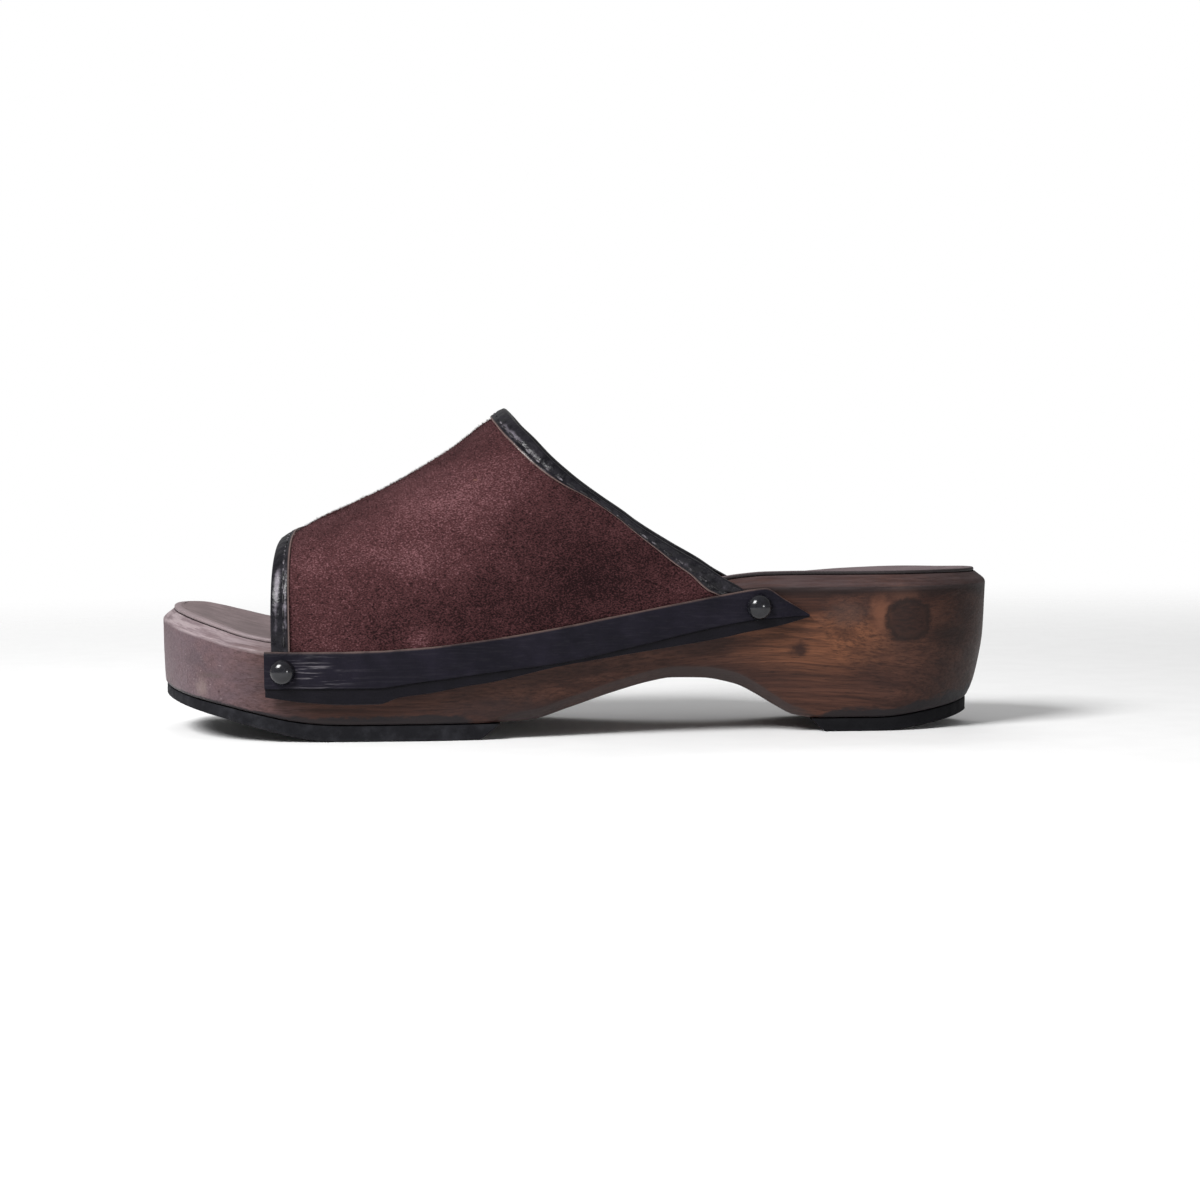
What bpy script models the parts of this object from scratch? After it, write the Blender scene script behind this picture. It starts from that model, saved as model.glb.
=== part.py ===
"""Wooden sole sandal: a left shoe with an open toe and an open back.

A carved wooden sole and heel in one block carries a suede vamp. A leather strip on each side holds
the vamp's lower edge to the wood with two dome studs. Toe points to -X, outer side to -Y, floor at z = 0.
Tables are in millimetres: s runs along the sole from the tip of the toe, and z is the height above the floor.
"""

import math

import bmesh
import bpy
from mathutils import Matrix, Vector

MM = 0.001
GAP = 0.3

# Sole
SOLE_LENGTH = 262.5
HEEL_REST_S = 219.0
STATIONS = 40
TOE_APEX_Y = 18.0
APEX_FADE = 60.0
OUTER_TOE = (42.0, 1.9)
INNER_TOE = (20.0, 2.3)
HEEL_ROUND = (36.0, 1.9)
TOP_BEVEL_DROP = 3.8
TOP_BEVEL_WIDTH = 3.3
INSOLE_THICKNESS = 1.2
INSOLE_INSET = 3.6
BED_STRIPS = 6

# Rubber
RUBBER_EDGE_IN = 0.4
RUBBER_FOOT_IN = 0.8
RUBBER_FOOT_HEIGHT = 0.8
FOREFOOT_END_S = 104.0
FOREFOOT_END_SLANT = 6.0
HEEL_FRONT_S = 209.5
HEEL_FRONT_SLANT = -4.5

# Vamp
LEATHER = 1.8
VAMP_OUT = GAP + LEATHER
VAMP_FRONT_S = 42.7
VAMP_FRONT_LEAN = -0.4
CROWN_Y = 4.0
ARCH_START_BELOW_RIM = 2.7
HEM_ABOVE_STRIP_FOOT = 1.2
GIRTH_WALL_STEPS = 2
GIRTH_ARCH_STEPS = 26
LENGTH_STEPS = 16
ARCH_SHARE = 0.86
HALVINGS = 40
NEAR_S = 0.4
NEAR_GIRTH = 0.004

# Binding
TOE_BINDING_REACH = 4.9
TOE_BINDING_END = ARCH_SHARE
INSTEP_BINDING_END = 0.878
BINDING_LEATHER = 0.7
LEAST_CROSSING = 0.35

# Side strip
STRIP_LIP_LEATHER = 1.0
STRIP_START_S = 40.6
STRIP_TIP_S = 204.6
STRIP_UNDERLAY_END_S = 193.5
STRIP_STEPS = 34
STRIP_TIP_THINNING = 0.4

# Stud
STUD_DIAMETER = 7.8
STUD_HEIGHT = 3.1
STUD_COLLAR = 0.5
STUD_RINGS = 5
STUD_SIDES = 24
STUDS = {
    "front": {"s": 45.6, "z": 21.8},
    "rear": {"s": 188.9, "z": 39.0},
}

# Half widths of the sole's top outline, from the middle line to each side
WIDTHS = {
    "s": (0, 33, 45, 60, 85, 105, 125, 145, 165, 185, 205, 225, 262.5),
    "outer": (43, 43.3, 44.7, 45.3, 45.2, 43.3, 39.5, 35.8, 33, 31.2, 30.6, 30.8, 30.8),
    "inner": (41, 42.7, 43.5, 44.0, 43.4, 40.4, 35.6, 32, 29.8, 29.4, 30.2, 31, 31),
}

# Height of the sole's upper edge
RIM = {
    "s": (0, 6, 12, 18, 23, 28, 33, 41, 55, 78, 90, 104, 116, 129, 150, 176, 184, 192, 204, 227, 240, 262.5),
    "z": (
        39.4, 38.5, 37.3, 36, 34.8, 33.5, 32.4, 31.2, 30.7, 31.1, 31.9,
        33.4, 35.1, 37.7, 42, 47.5, 48.8, 49.4, 49.5, 49.4, 49.4, 49.2,
    ),
}

# How much lower the sole's upper edge is on the inner side than on the outer side
INNER_EDGE = {
    "s": (0, 8, 20, 45, 80, 150, 178, 192, 204, 220, 238, 252, 262.5),
    "drop": (0, -0.5, -0.8, -0.8, 0, 0.8, 2.9, 3.1, 2.5, 1.4, 0.8, 0.6, 0),
}

# Hollow of the footbed below its edge, at the middle of the width
DISH = {
    "s": (0, 20, 60, 95, 150, 190, 225, 250, 262.5),
    "depth": (0.2, 1.2, 2.2, 2.4, 1.4, 2.0, 3.2, 2.4, 0.4),
}

# Height of what stands on the floor: toe spring, flat under the ball, flat and rolled back edge of the heel
TREAD = {
    "s": (0, 6, 16, 25, 32, 39, 46, 52, 58, 64, 200, 226, 232, 238, 243, 248, 254, 262.5),
    "z": (11.6, 10.4, 8.6, 6.9, 5.3, 3.6, 1.95, 0.85, 0.2, 0, 0, 0, 0.3, 1.0, 1.6, 2.2, 3.0, 4.3),
}

# Height of the wood's underside above the tread, with the arch between forefoot and heel
ARCH = {
    "s": (0, 16, 25, 35, 46, 60, 109, 119, 132, 145, 157, 163, 172, 182, 188, 194, 200, 206, 262.5),
    "z": (3.4, 3.7, 4.0, 4.3, 4.7, 5.1, 5.1, 5.4, 8.9, 13.1, 16.3, 17.2, 17.0, 15.0, 12.0, 8.3, 5.2, 4.3, 4.3),
}

# The wood's side: how far its foot is tucked in, and the chamfer along its lower edge
SIDE = {
    "s": (0, 14, 30, 60, 104, 118, 140, 180, 200, 210, 235, 250, 262.5),
    "tuck": (0.5, 0.6, 0.8, 0.9, 1.0, 1.2, 1.8, 2.0, 2.2, 2.6, 3.4, 4.6, 6.0),
    "chamfer": (0.6, 0.6, 0.6, 0.6, 0.6, 2.8, 3.2, 3.2, 2.2, 0.6, 0.6, 0.6, 0.6),
}

# Share of that tuck at each share of the height of the wood's side
TUCK_LEVELS = ((0.0, 1.0), (0.1, 0.72), (0.28, 0.42), (0.55, 0.14), (1.0, 0.0))

# Vamp sections: height of the crown, and how square the arch over the foot is
CROWN = {
    "s": (36, 43, 51, 61, 70, 80, 89.5, 98, 105.5, 112, 125, 150, 175, 205),
    "z": (57.4, 61, 65.9, 70.3, 74.5, 79.7, 85.3, 91.1, 96.6, 100.4, 106.6, 113.8, 117.8, 119.8),
    "squareness": (3.0, 3.0, 2.9, 2.8, 2.75, 2.65, 2.5, 2.4, 2.35, 2.3, 2.2, 2.15, 2.1, 2.1),
}

# The vamp's rear edge as seen from the side, from the instep's peak down to the strip
COLLAR = {
    "s": (
        104, 110, 112.7, 115.3, 119, 124.3, 129.8, 134.7, 141.3,
        147.5, 151.7, 163.3, 171.6, 176.8, 184.3, 190, 196, 205,
    ),
    "z": (
        104.8, 100.7, 97.8, 94.7, 91.1, 85.4, 80.4, 76.4, 71.6,
        67.3, 64.1, 56.7, 51.8, 48.2, 43.6, 37.8, 29.8, 18.8,
    ),
}

# The binding's depth over the vamp, along the rear edge
INSTEP_BINDING = {
    "s": (107, 116, 120, 124, 130, 134, 138, 142, 150, 162, 172, 181),
    "reach": (4.4, 4.9, 5.0, 4.6, 3.8, 2.9, 1.8, 1.4, 1.6, 2.7, 4.1, 5.0),
}

# Side strip: its upper edge, the crease where the thick band ends, and its lower edge
STRIP = {
    "s": (40.6, 52, 65, 74, 80, 89, 100, 106, 128, 150, 176, 187, 190.7, 197, 204.6),
    "top": (27.9, 27.7, 27.7, 27.9, 28.2, 28.8, 30, 30.7, 34, 38, 42.6, 44.4, 44.8, 41.1, 36.4),
    "crease": (16.6, 16.6, 16.6, 16.6, 17.4, 18.6, 19.9, 20.7, 23.2, 27.5, 33.2, 35, 35.3, 35.7, 36),
    "foot": (14, 12.4, 11.6, 11.7, 13.6, 14.8, 16.8, 17.6, 22.2, 25.5, 29.4, 31.7, 32.3, 33.6, 35.6),
}

SIDES = {"outer": -1.0, "inner": 1.0}


def clear_scene():
    for obj in list(bpy.data.objects):
        bpy.data.objects.remove(obj, do_unlink=True)


def slopes(xs, ys):
    """Slopes of a monotone cubic through the points, so that flat runs stay flat."""
    steps = [(ys[i + 1] - ys[i]) / (xs[i + 1] - xs[i]) for i in range(len(xs) - 1)]
    found = [steps[0]]
    for before, after in zip(steps, steps[1:]):
        found.append(0.0 if before * after <= 0 else 2 * before * after / (before + after))
    found.append(steps[-1])
    return found


def read_table(table, column, s):
    xs, ys = table["s"], table[column]
    s = min(max(s, xs[0]), xs[-1])
    i = max(n for n in range(len(xs) - 1) if xs[n] <= s)
    slope = slopes(xs, ys)
    span = xs[i + 1] - xs[i]
    t = (s - xs[i]) / span
    rise = ys[i] * (1 + 2 * t) * (1 - t) ** 2 + ys[i + 1] * t * t * (3 - 2 * t)
    return rise + span * (slope[i] * t * (1 - t) ** 2 - slope[i + 1] * t * t * (1 - t))


def smooth(t):
    t = min(max(t, 0.0), 1.0)
    return t * t * (3 - 2 * t)


def place(s, y, z):
    return Vector(((s - HEEL_REST_S) * MM, y * MM, z * MM))


def end_rounding(distance, length, power):
    """Share of the full width at a distance from a rounded end."""
    if distance >= length:
        return 1.0
    return max(1 - (1 - max(distance, 0.0) / length) ** power, 0.0) ** (1 / power)


def outline_y(s, side):
    """The sole's outline: y on one side at s."""
    apex = TOE_APEX_Y * (1 - smooth(s / APEX_FADE))
    toe = end_rounding(s, *(OUTER_TOE if side == "outer" else INNER_TOE))
    heel = end_rounding(SOLE_LENGTH - s, *HEEL_ROUND)
    reach = read_table(WIDTHS, side, s) - SIDES[side] * apex
    return apex + SIDES[side] * reach * toe * heel


def outline_normal(s, side, step=0.5):
    """The unit vector that points out of the outline in plan."""
    rise = outline_y(s + step, side) - outline_y(s - step, side)
    length = math.hypot(2 * step, rise)
    return -SIDES[side] * rise / length, SIDES[side] * 2 * step / length


def side_point(s, side, out):
    """A point beside the outline, out millimetres away from the wood."""
    along, across = outline_normal(s, side)
    return s + along * out, outline_y(s, side) + across * out


def outline_ring(stations=STATIONS):
    """Stations round the whole sole: (s, y, normal), tip first, outer side, heel, then inner side."""
    angles = [math.pi * k / stations for k in range(stations + 1)]
    steps = [SOLE_LENGTH * (1 - math.cos(angle)) / 2 for angle in angles]
    ring = [(0.0, TOE_APEX_Y, (-1.0, 0.0))]
    for side, order in (("outer", steps[1:-1]), ("inner", steps[-2:0:-1])):
        for s in order:
            ring.append((s, outline_y(s, side), ring_normal(s, side)))
        if side == "outer":
            ring.append((SOLE_LENGTH, 0.0, (1.0, 0.0)))
    return ring


def ring_normal(s, side):
    step = min(0.5, 0.5 * s, 0.5 * (SOLE_LENGTH - s))
    return outline_normal(s, side, step)


def inset_point(station, inset, z):
    s, y, (along, across) = station
    return place(s - along * inset, y - across * inset, z)


def underside(s):
    return read_table(TREAD, "z", s) + read_table(ARCH, "z", s)


def drop_of(s, side):
    return read_table(INNER_EDGE, "drop", s) if side == "inner" else 0.0


def rim_height(s, side):
    return read_table(RIM, "z", s) - drop_of(s, side)


def side_of(ring, k):
    return "outer" if k <= len(ring) // 2 else "inner"


def pairs_of(count):
    """Index pairs across a ring that starts and ends at its two poles."""
    half = count // 2
    return [(k, (count - k) % count) for k in range(half + 1)]


def half_pairs(count):
    """Index pairs across a ring with one pole, cut off straight at its other end."""
    half = (count - 1) // 2
    return [(0, 0)] + [(k, count - k) for k in range(1, half + 1)]


def add_face(bm, corners):
    kept = []
    for corner in corners:
        if corner not in kept:
            kept.append(corner)
    if len(kept) > 2:
        bm.faces.new(kept)


def add_walls(bm, rings):
    for low, high in zip(rings, rings[1:]):
        for k in range(len(low)):
            n = (k + 1) % len(low)
            add_face(bm, (low[k], low[n], high[n], high[k]))


def add_cap(bm, ring, pairs, strips=1, hollow=None):
    """A face across a ring, in lines between paired points. hollow(row, across) lowers it, in millimetres."""
    lines = []
    for row, (a, b) in enumerate(pairs):
        if a == b:
            lines.append([ring[a]] * (strips + 1))
            continue
        line = [ring[a]]
        for step in range(1, strips):
            share = step / strips
            co = ring[a].co.lerp(ring[b].co, share)
            co.z -= hollow(row, 2 * share - 1) * MM
            line.append(bm.verts.new(co))
        lines.append(line + [ring[b]])
    for line, after in zip(lines, lines[1:]):
        for step in range(strips):
            add_face(bm, (line[step], line[step + 1], after[step + 1], after[step]))


def finish_mesh(name, bm, material, smooth_angle=35.0):
    bmesh.ops.recalc_face_normals(bm, faces=bm.faces)
    mesh = bpy.data.meshes.new(name)
    bm.to_mesh(mesh)
    bm.free()
    mesh.shade_smooth()
    mesh.set_sharp_from_angle(angle=math.radians(smooth_angle))
    mesh.materials.append(material)
    obj = bpy.data.objects.new(name, mesh)
    PARTS.objects.link(obj)
    return obj


def make_material(name, colour, roughness, metallic=0.0):
    material = bpy.data.materials.new(name)
    material.use_nodes = True
    shader = material.node_tree.nodes["Principled BSDF"]
    shader.inputs["Base Color"].default_value = (*colour, 1.0)
    shader.inputs["Roughness"].default_value = roughness
    shader.inputs["Metallic"].default_value = metallic
    return material


def dish_across(s, across):
    return read_table(DISH, "depth", s) * (1 - across * across)


def edge_ring(bm, ring, inset, drop):
    """A line of points inside the sole's upper edge, drop millimetres below it."""
    return [
        bm.verts.new(inset_point(station, inset, rim_height(station[0], side_of(ring, k)) - drop))
        for k, station in enumerate(ring)
    ]


def make_wood_sole():
    ring = outline_ring()
    bm = bmesh.new()
    rings = []
    chamfered = []
    for station in ring:
        s = station[0]
        chamfer = read_table(SIDE, "chamfer", s)
        inset = read_table(SIDE, "tuck", s) + chamfer
        chamfered.append(bm.verts.new(inset_point(station, inset, underside(s))))
    rings.append(chamfered)
    for height, tucked in TUCK_LEVELS:
        level = []
        for k, station in enumerate(ring):
            s = station[0]
            low = underside(s) + read_table(SIDE, "chamfer", s)
            high = rim_height(s, side_of(ring, k)) - TOP_BEVEL_DROP
            inset = read_table(SIDE, "tuck", s) * tucked
            level.append(bm.verts.new(inset_point(station, inset, low + (high - low) * height)))
        rings.append(level)
    bed_drop = INSOLE_THICKNESS + GAP
    rings.append(edge_ring(bm, ring, TOP_BEVEL_WIDTH, bed_drop))
    add_walls(bm, rings)
    pairs = pairs_of(len(ring))
    add_cap(bm, rings[0], pairs)
    add_cap(bm, rings[-1], pairs, BED_STRIPS, lambda row, across: dish_across(ring[row][0], across))
    return finish_mesh("wood_sole", bm, WOOD)


def make_insole():
    ring = outline_ring()
    bm = bmesh.new()
    pairs = pairs_of(len(ring))
    rings = []
    for drop in (INSOLE_THICKNESS, 0.0):
        level = edge_ring(bm, ring, INSOLE_INSET, drop)
        rings.append(level)
        add_cap(bm, level, pairs, BED_STRIPS, lambda row, across: dish_across(ring[row][0], across))
    add_walls(bm, rings)
    return finish_mesh("insole", bm, INSOLE)


def rubber_ring(cut_s, at_toe):
    """Stations of one end of the sole, pole first, up to a straight cut across it."""
    ring = outline_ring()
    half = len(ring) // 2
    pole = 0 if at_toe else half
    near = [ring[(pole + k) % len(ring)] for k in range(1, half)]
    near = [station for station in near if (station[0] < cut_s) == at_toe]
    far = [ring[pole - k] for k in range(1, len(near) + 1)]
    first = "outer" if at_toe else "inner"
    second = "inner" if at_toe else "outer"
    ends = [(cut_s, outline_y(cut_s, side), ring_normal(cut_s, side)) for side in (first, second)]
    return [ring[pole]] + near + ends + far[::-1]


def make_rubber(name, cut_s, slant, at_toe):
    ring = rubber_ring(cut_s, at_toe)
    ends = (len(ring) // 2, len(ring) // 2 + 1)
    bm = bmesh.new()
    rings = []
    for part in ("foot", "edge", "top"):
        level = []
        for k, (s, y, normal) in enumerate(ring):
            low = read_table(TREAD, "z", s)
            high = underside(s) - GAP
            z = {"foot": low, "edge": low + RUBBER_FOOT_HEIGHT, "top": high}[part]
            inset = read_table(SIDE, "tuck", s) + (RUBBER_FOOT_IN if part == "foot" else RUBBER_EDGE_IN)
            point = inset_point((s, y, normal), inset, z)
            if k in ends:
                point.x += slant * MM * (z - low) / (high - low)
            level.append(bm.verts.new(point))
        rings.append(level)
    add_walls(bm, rings)
    pairs = half_pairs(len(ring))
    add_cap(bm, rings[0], pairs)
    add_cap(bm, rings[-1], pairs)
    return finish_mesh(name, bm, RUBBER)


def wall_side_y(s, side):
    """y of the vamp's outer face beside the wood."""
    across = abs(outline_normal(s, side)[1])
    return outline_y(s, side) + SIDES[side] * VAMP_OUT / across


def vamp_point(s, girth):
    """The vamp's outer face. girth runs from -1 at the outer hem over the crown at 0 to 1 at the inner hem."""
    side = "outer" if girth < 0 else "inner"
    wall_y = wall_side_y(s, side)
    arch_foot = rim_height(s, side) - ARCH_START_BELOW_RIM
    share = abs(girth)
    if share > ARCH_SHARE:
        hem = read_table(STRIP, "foot", s) - drop_of(s, side) + HEM_ABOVE_STRIP_FOOT
        up = (1 - share) / (1 - ARCH_SHARE)
        return place(s, wall_y, hem + (arch_foot - hem) * up)
    angle = math.pi / 2 * (1 - share / ARCH_SHARE)
    power = 2 / read_table(CROWN, "squareness", s)
    y = CROWN_Y + (wall_y - CROWN_Y) * max(math.cos(angle), 0.0) ** power
    z = arch_foot + (read_table(CROWN, "z", s) - arch_foot) * math.sin(angle) ** power
    return place(s, y, z)


def front_s(girth):
    """The front edge is upright, and leans forward a little toward the crown."""
    height = vamp_point(VAMP_FRONT_S, girth).z / MM
    return VAMP_FRONT_S + VAMP_FRONT_LEAN * (height / read_table(CROWN, "z", VAMP_FRONT_S)) ** 2


def rear_s(girth):
    """Where the vamp's face meets the collar line, found by halving."""
    low, high = VAMP_FRONT_S, STRIP_TIP_S
    for _ in range(HALVINGS):
        middle = (low + high) / 2
        if vamp_point(middle, girth).z / MM < read_table(COLLAR, "z", middle):
            low = middle
        else:
            high = middle
    return low


def girths():
    arch = GIRTH_ARCH_STEPS // 2
    one_side = [ARCH_SHARE * k / arch for k in range(arch + 1)] + [INSTEP_BINDING_END]
    one_side += [ARCH_SHARE + (1 - ARCH_SHARE) * k / GIRTH_WALL_STEPS for k in range(1, GIRTH_WALL_STEPS + 1)]
    return [-share for share in one_side[:0:-1]] + one_side


def make_vamp():
    bm = bmesh.new()
    rows = []
    for girth in girths():
        start, end = front_s(girth), rear_s(girth)
        rows.append([
            bm.verts.new(vamp_point(start + (end - start) * k / LENGTH_STEPS, girth))
            for k in range(LENGTH_STEPS + 1)
        ])
    for row, after in zip(rows, rows[1:]):
        for k in range(LENGTH_STEPS):
            bm.faces.new((row[k], row[k + 1], after[k + 1], after[k]))
    mesh = bpy.data.meshes.new("suede_vamp")
    bm.to_mesh(mesh)
    bm.free()
    mesh.shade_smooth()
    mesh.materials.append(SUEDE)
    obj = bpy.data.objects.new("suede_vamp", mesh)
    PARTS.objects.link(obj)
    wall = obj.modifiers.new("Wall", "SOLIDIFY")
    wall.thickness = LEATHER * MM
    wall.offset = -1.0
    wall.use_even_offset = True
    return obj


def surface_normal(s, girth):
    along = vamp_point(s + NEAR_S, girth) - vamp_point(s - NEAR_S, girth)
    across = vamp_point(s, girth + NEAR_GIRTH) - vamp_point(s, girth - NEAR_GIRTH)
    normal = across.cross(along).normalized()
    outward = vamp_point(s, girth) - place(s, 0.0, read_table(RIM, "z", s))
    return normal if normal.dot(outward) > 0 else -normal


def make_binding(name, edge_s, inward, end, reach_at):
    """A leather edging folded over one edge of the vamp. inward is +1 where the vamp lies toward the heel."""
    sections = []
    for girth in [girth for girth in girths() if abs(girth) <= end]:
        s = edge_s(girth)
        edge = vamp_point(s, girth)
        normal = surface_normal(s, girth)
        rate = (vamp_point(s + inward, girth) - edge).length / MM
        run = inward * reach_at(s) / (rate * edge_crossing(edge_s, girth))
        places = [vamp_point(s + run * share, girth) for share in (0.5, 1.0)]
        normals = [surface_normal(s + run * share, girth) for share in (0.5, 1.0)]
        ahead = (edge - vamp_point(s + inward, girth)).normalized()
        lip, back = GAP * MM, (GAP + BINDING_LEATHER) * MM
        sections.append((
            edge + ahead * back + normal * back,
            places[0] + normals[0] * back,
            places[1] + normals[1] * back,
            places[1] + normals[1] * lip,
            places[0] + normals[0] * lip,
            edge + ahead * lip + normal * lip,
            edge + ahead * lip - normal * LEATHER * MM,
            edge + ahead * back - normal * LEATHER * MM,
        ))
    return finish_sweep(name, sections, EDGE_LEATHER)


def edge_crossing(edge_s, girth, step=0.01):
    """How squarely the lengthwise lines cross the edge, as the sine of their angle."""
    s = edge_s(girth)
    line = (vamp_point(s + 1, girth) - vamp_point(s, girth)).normalized()
    edge = (vamp_point(edge_s(girth + step), girth + step)
            - vamp_point(edge_s(girth - step), girth - step)).normalized()
    return max(line.cross(edge).length, LEAST_CROSSING)


def finish_sweep(name, sections, material):
    bm = bmesh.new()
    rings = [[bm.verts.new(point) for point in section] for section in sections]
    add_walls(bm, rings)
    bm.faces.new(rings[0])
    bm.faces.new(rings[-1])
    return finish_mesh(name, bm, material)


def strip_out(s):
    """Distance of the strip's inner face from the wood: over the vamp, then down to the wood at the tip."""
    lift = 1 - smooth((s - STRIP_UNDERLAY_END_S) / (STRIP_TIP_S - STRIP_UNDERLAY_END_S))
    return GAP + VAMP_OUT * lift


def make_strip(side):
    sections = []
    for k in range(STRIP_STEPS + 1):
        s = STRIP_START_S + (STRIP_TIP_S - STRIP_START_S) * k / STRIP_STEPS
        top, crease, foot = (
            read_table(STRIP, column, s) - drop_of(s, side) for column in ("top", "crease", "foot")
        )
        thin = 1 - STRIP_TIP_THINNING * smooth((s - STRIP_UNDERLAY_END_S) / (STRIP_TIP_S - STRIP_UNDERLAY_END_S))
        face = strip_out(s)
        points = (
            (face, foot),
            (face, top),
            (face + LEATHER * thin, top),
            (face + LEATHER * thin, crease),
            (face + STRIP_LIP_LEATHER * thin, crease - GAP * thin),
            (face + STRIP_LIP_LEATHER * thin, foot),
        )
        sections.append([place(*side_point(s, side, out), z) for out, z in points])
    return finish_sweep("side_strip_" + side, sections, STRIP_LEATHER)


def make_stud(side, spot):
    s = STUDS[spot]["s"]
    z = STUDS[spot]["z"] - drop_of(s, side)
    seat = strip_out(s) + LEATHER + GAP
    foot = place(*side_point(s, side, seat), z)
    along, across = outline_normal(s, side)
    radius = STUD_DIAMETER / 2 * MM
    profile = [(radius, 0.0), (radius, STUD_COLLAR * MM)]
    for k in range(1, STUD_RINGS + 1):
        angle = math.pi / 2 * k / STUD_RINGS
        rise = STUD_COLLAR + (STUD_HEIGHT - STUD_COLLAR) * math.sin(angle)
        profile.append((radius * math.cos(angle), rise * MM))
    bm = bmesh.new()
    rings = []
    for r, h in profile[:-1]:
        turn = [2 * math.pi * k / STUD_SIDES for k in range(STUD_SIDES)]
        rings.append([bm.verts.new((r * math.cos(a), r * math.sin(a), h)) for a in turn])
    add_walls(bm, rings)
    bm.faces.new(rings[0])
    tip = bm.verts.new((0, 0, profile[-1][1]))
    for k in range(STUD_SIDES):
        bm.faces.new((rings[-1][k], rings[-1][(k + 1) % STUD_SIDES], tip))
    out = Vector((along, across, 0)).normalized()
    turn = out.to_track_quat("Z", "Y").to_matrix().to_4x4()
    obj = finish_mesh(f"stud_{side}_{spot}", bm, STUD_METAL)
    obj.matrix_world = Matrix.Translation(foot) @ turn
    return obj


clear_scene()
PARTS = bpy.data.collections.new("wooden_sole_sandal")
bpy.context.scene.collection.children.link(PARTS)

WOOD = make_material("Stained wood", (0.13, 0.055, 0.035), 0.5)
INSOLE = make_material("Insole leather", (0.20, 0.14, 0.13), 0.6)
RUBBER = make_material("Tread rubber", (0.018, 0.018, 0.02), 0.75)
SUEDE = make_material("Burgundy suede", (0.075, 0.022, 0.022), 0.95)
EDGE_LEATHER = make_material("Binding leather", (0.012, 0.011, 0.013), 0.42)
STRIP_LEATHER = make_material("Strip leather", (0.011, 0.011, 0.016), 0.55)
STUD_METAL = make_material("Black stud", (0.01, 0.01, 0.011), 0.2, 0.4)

make_wood_sole()
make_insole()
make_rubber("forefoot_rubber", FOREFOOT_END_S, FOREFOOT_END_SLANT, True)
make_rubber("heel_rubber", HEEL_FRONT_S, HEEL_FRONT_SLANT, False)
make_vamp()
make_binding("toe_binding", front_s, 1, TOE_BINDING_END, lambda s: TOE_BINDING_REACH)
make_binding("instep_binding", rear_s, -1, INSTEP_BINDING_END, lambda s: read_table(INSTEP_BINDING, "reach", s))
for side_name in SIDES:
    make_strip(side_name)
    for spot_name in STUDS:
        make_stud(side_name, spot_name)
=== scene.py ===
"""The finish of the wooden sole sandal: fine meshes and materials for each piece, on a pale floor.

Tables are in millimetres: s runs along the sole from the tip of the toe, and z is the height above the floor.
"""

import math

import bpy
import numpy as np
from mathutils import Matrix, Vector, noise


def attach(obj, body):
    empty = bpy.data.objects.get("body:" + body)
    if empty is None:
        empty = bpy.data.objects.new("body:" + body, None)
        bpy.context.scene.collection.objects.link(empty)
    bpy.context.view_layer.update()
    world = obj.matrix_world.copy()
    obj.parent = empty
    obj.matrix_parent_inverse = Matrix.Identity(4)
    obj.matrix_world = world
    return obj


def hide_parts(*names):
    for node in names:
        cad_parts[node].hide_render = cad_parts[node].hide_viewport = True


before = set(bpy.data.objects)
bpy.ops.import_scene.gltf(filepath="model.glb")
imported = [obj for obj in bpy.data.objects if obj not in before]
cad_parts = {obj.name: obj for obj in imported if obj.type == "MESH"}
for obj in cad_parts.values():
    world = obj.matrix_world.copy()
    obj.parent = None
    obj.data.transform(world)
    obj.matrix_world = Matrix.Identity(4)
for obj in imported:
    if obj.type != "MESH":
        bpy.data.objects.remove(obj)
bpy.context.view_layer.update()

MM = 0.001
GAP = 0.3

# Sole, the same sizes as the solids
SOLE_LENGTH = 262.5
HEEL_REST_S = 219.0
TOE_APEX_Y = 18.0
APEX_FADE = 60.0
TOE_ROUND = {"outer": (42.0, 1.9), "inner": (20.0, 2.3)}
HEEL_ROUND = (36.0, 1.9)
TOP_BEVEL_DROP = 3.8
TOP_BEVEL_WIDTH = 3.3
INSOLE_THICKNESS = 1.2
INSOLE_INSET = 3.6
BED_GAP = 0.05
RING_STEPS = 230
RUBBER_RING_STEPS = 360

# Rubber
RUBBER_EDGE_IN = 0.4
RUBBER_FOOT_IN = 0.8
RUBBER_FOOT_HEIGHT = 0.8
FOREFOOT_END_S = 104.0
FOREFOOT_END_SLANT = 6.0
HEEL_FRONT_S = 209.5
HEEL_FRONT_SLANT = -4.5

# Vamp
LEATHER = 1.8
VAMP_OUT = GAP + LEATHER
VAMP_FRONT_S = 42.7
VAMP_FRONT_LEAN = -0.4
CROWN_Y = 4.0
ARCH_START_BELOW_RIM = 2.7
HEM_ABOVE_STRIP_FOOT = 1.2
ARCH_SHARE = 0.86

# Binding
TOE_BINDING_REACH = 4.9
TOE_BINDING_END = 0.88
INSTEP_BINDING_END = 0.885
BINDING_LEATHER = 0.7
LEAST_CROSSING = 0.35
STITCH_PITCH = 4.4
STITCH_LENGTH = 3.1
THREAD_RADIUS = 0.34

# Nap
FIBRES_PER_SQUARE_METRE = 2.0e6
FIBRE_LENGTH = 0.9
FIBRE_RADIUS = 0.08

# Side strip
STRIP_LIP_LEATHER = 1.0
STRIP_START_S = 40.6
STRIP_TIP_S = 204.6
STRIP_UNDERLAY_END_S = 193.5
STRIP_TIP_THINNING = 0.4

# Stud
STUD_DIAMETER = 7.8
STUD_HEIGHT = 3.1
STUDS = {
    "front": {"s": 45.6, "z": 21.8},
    "rear": {"s": 188.9, "z": 39.0},
}

SIDES = {"outer": -1.0, "inner": 1.0}


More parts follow.
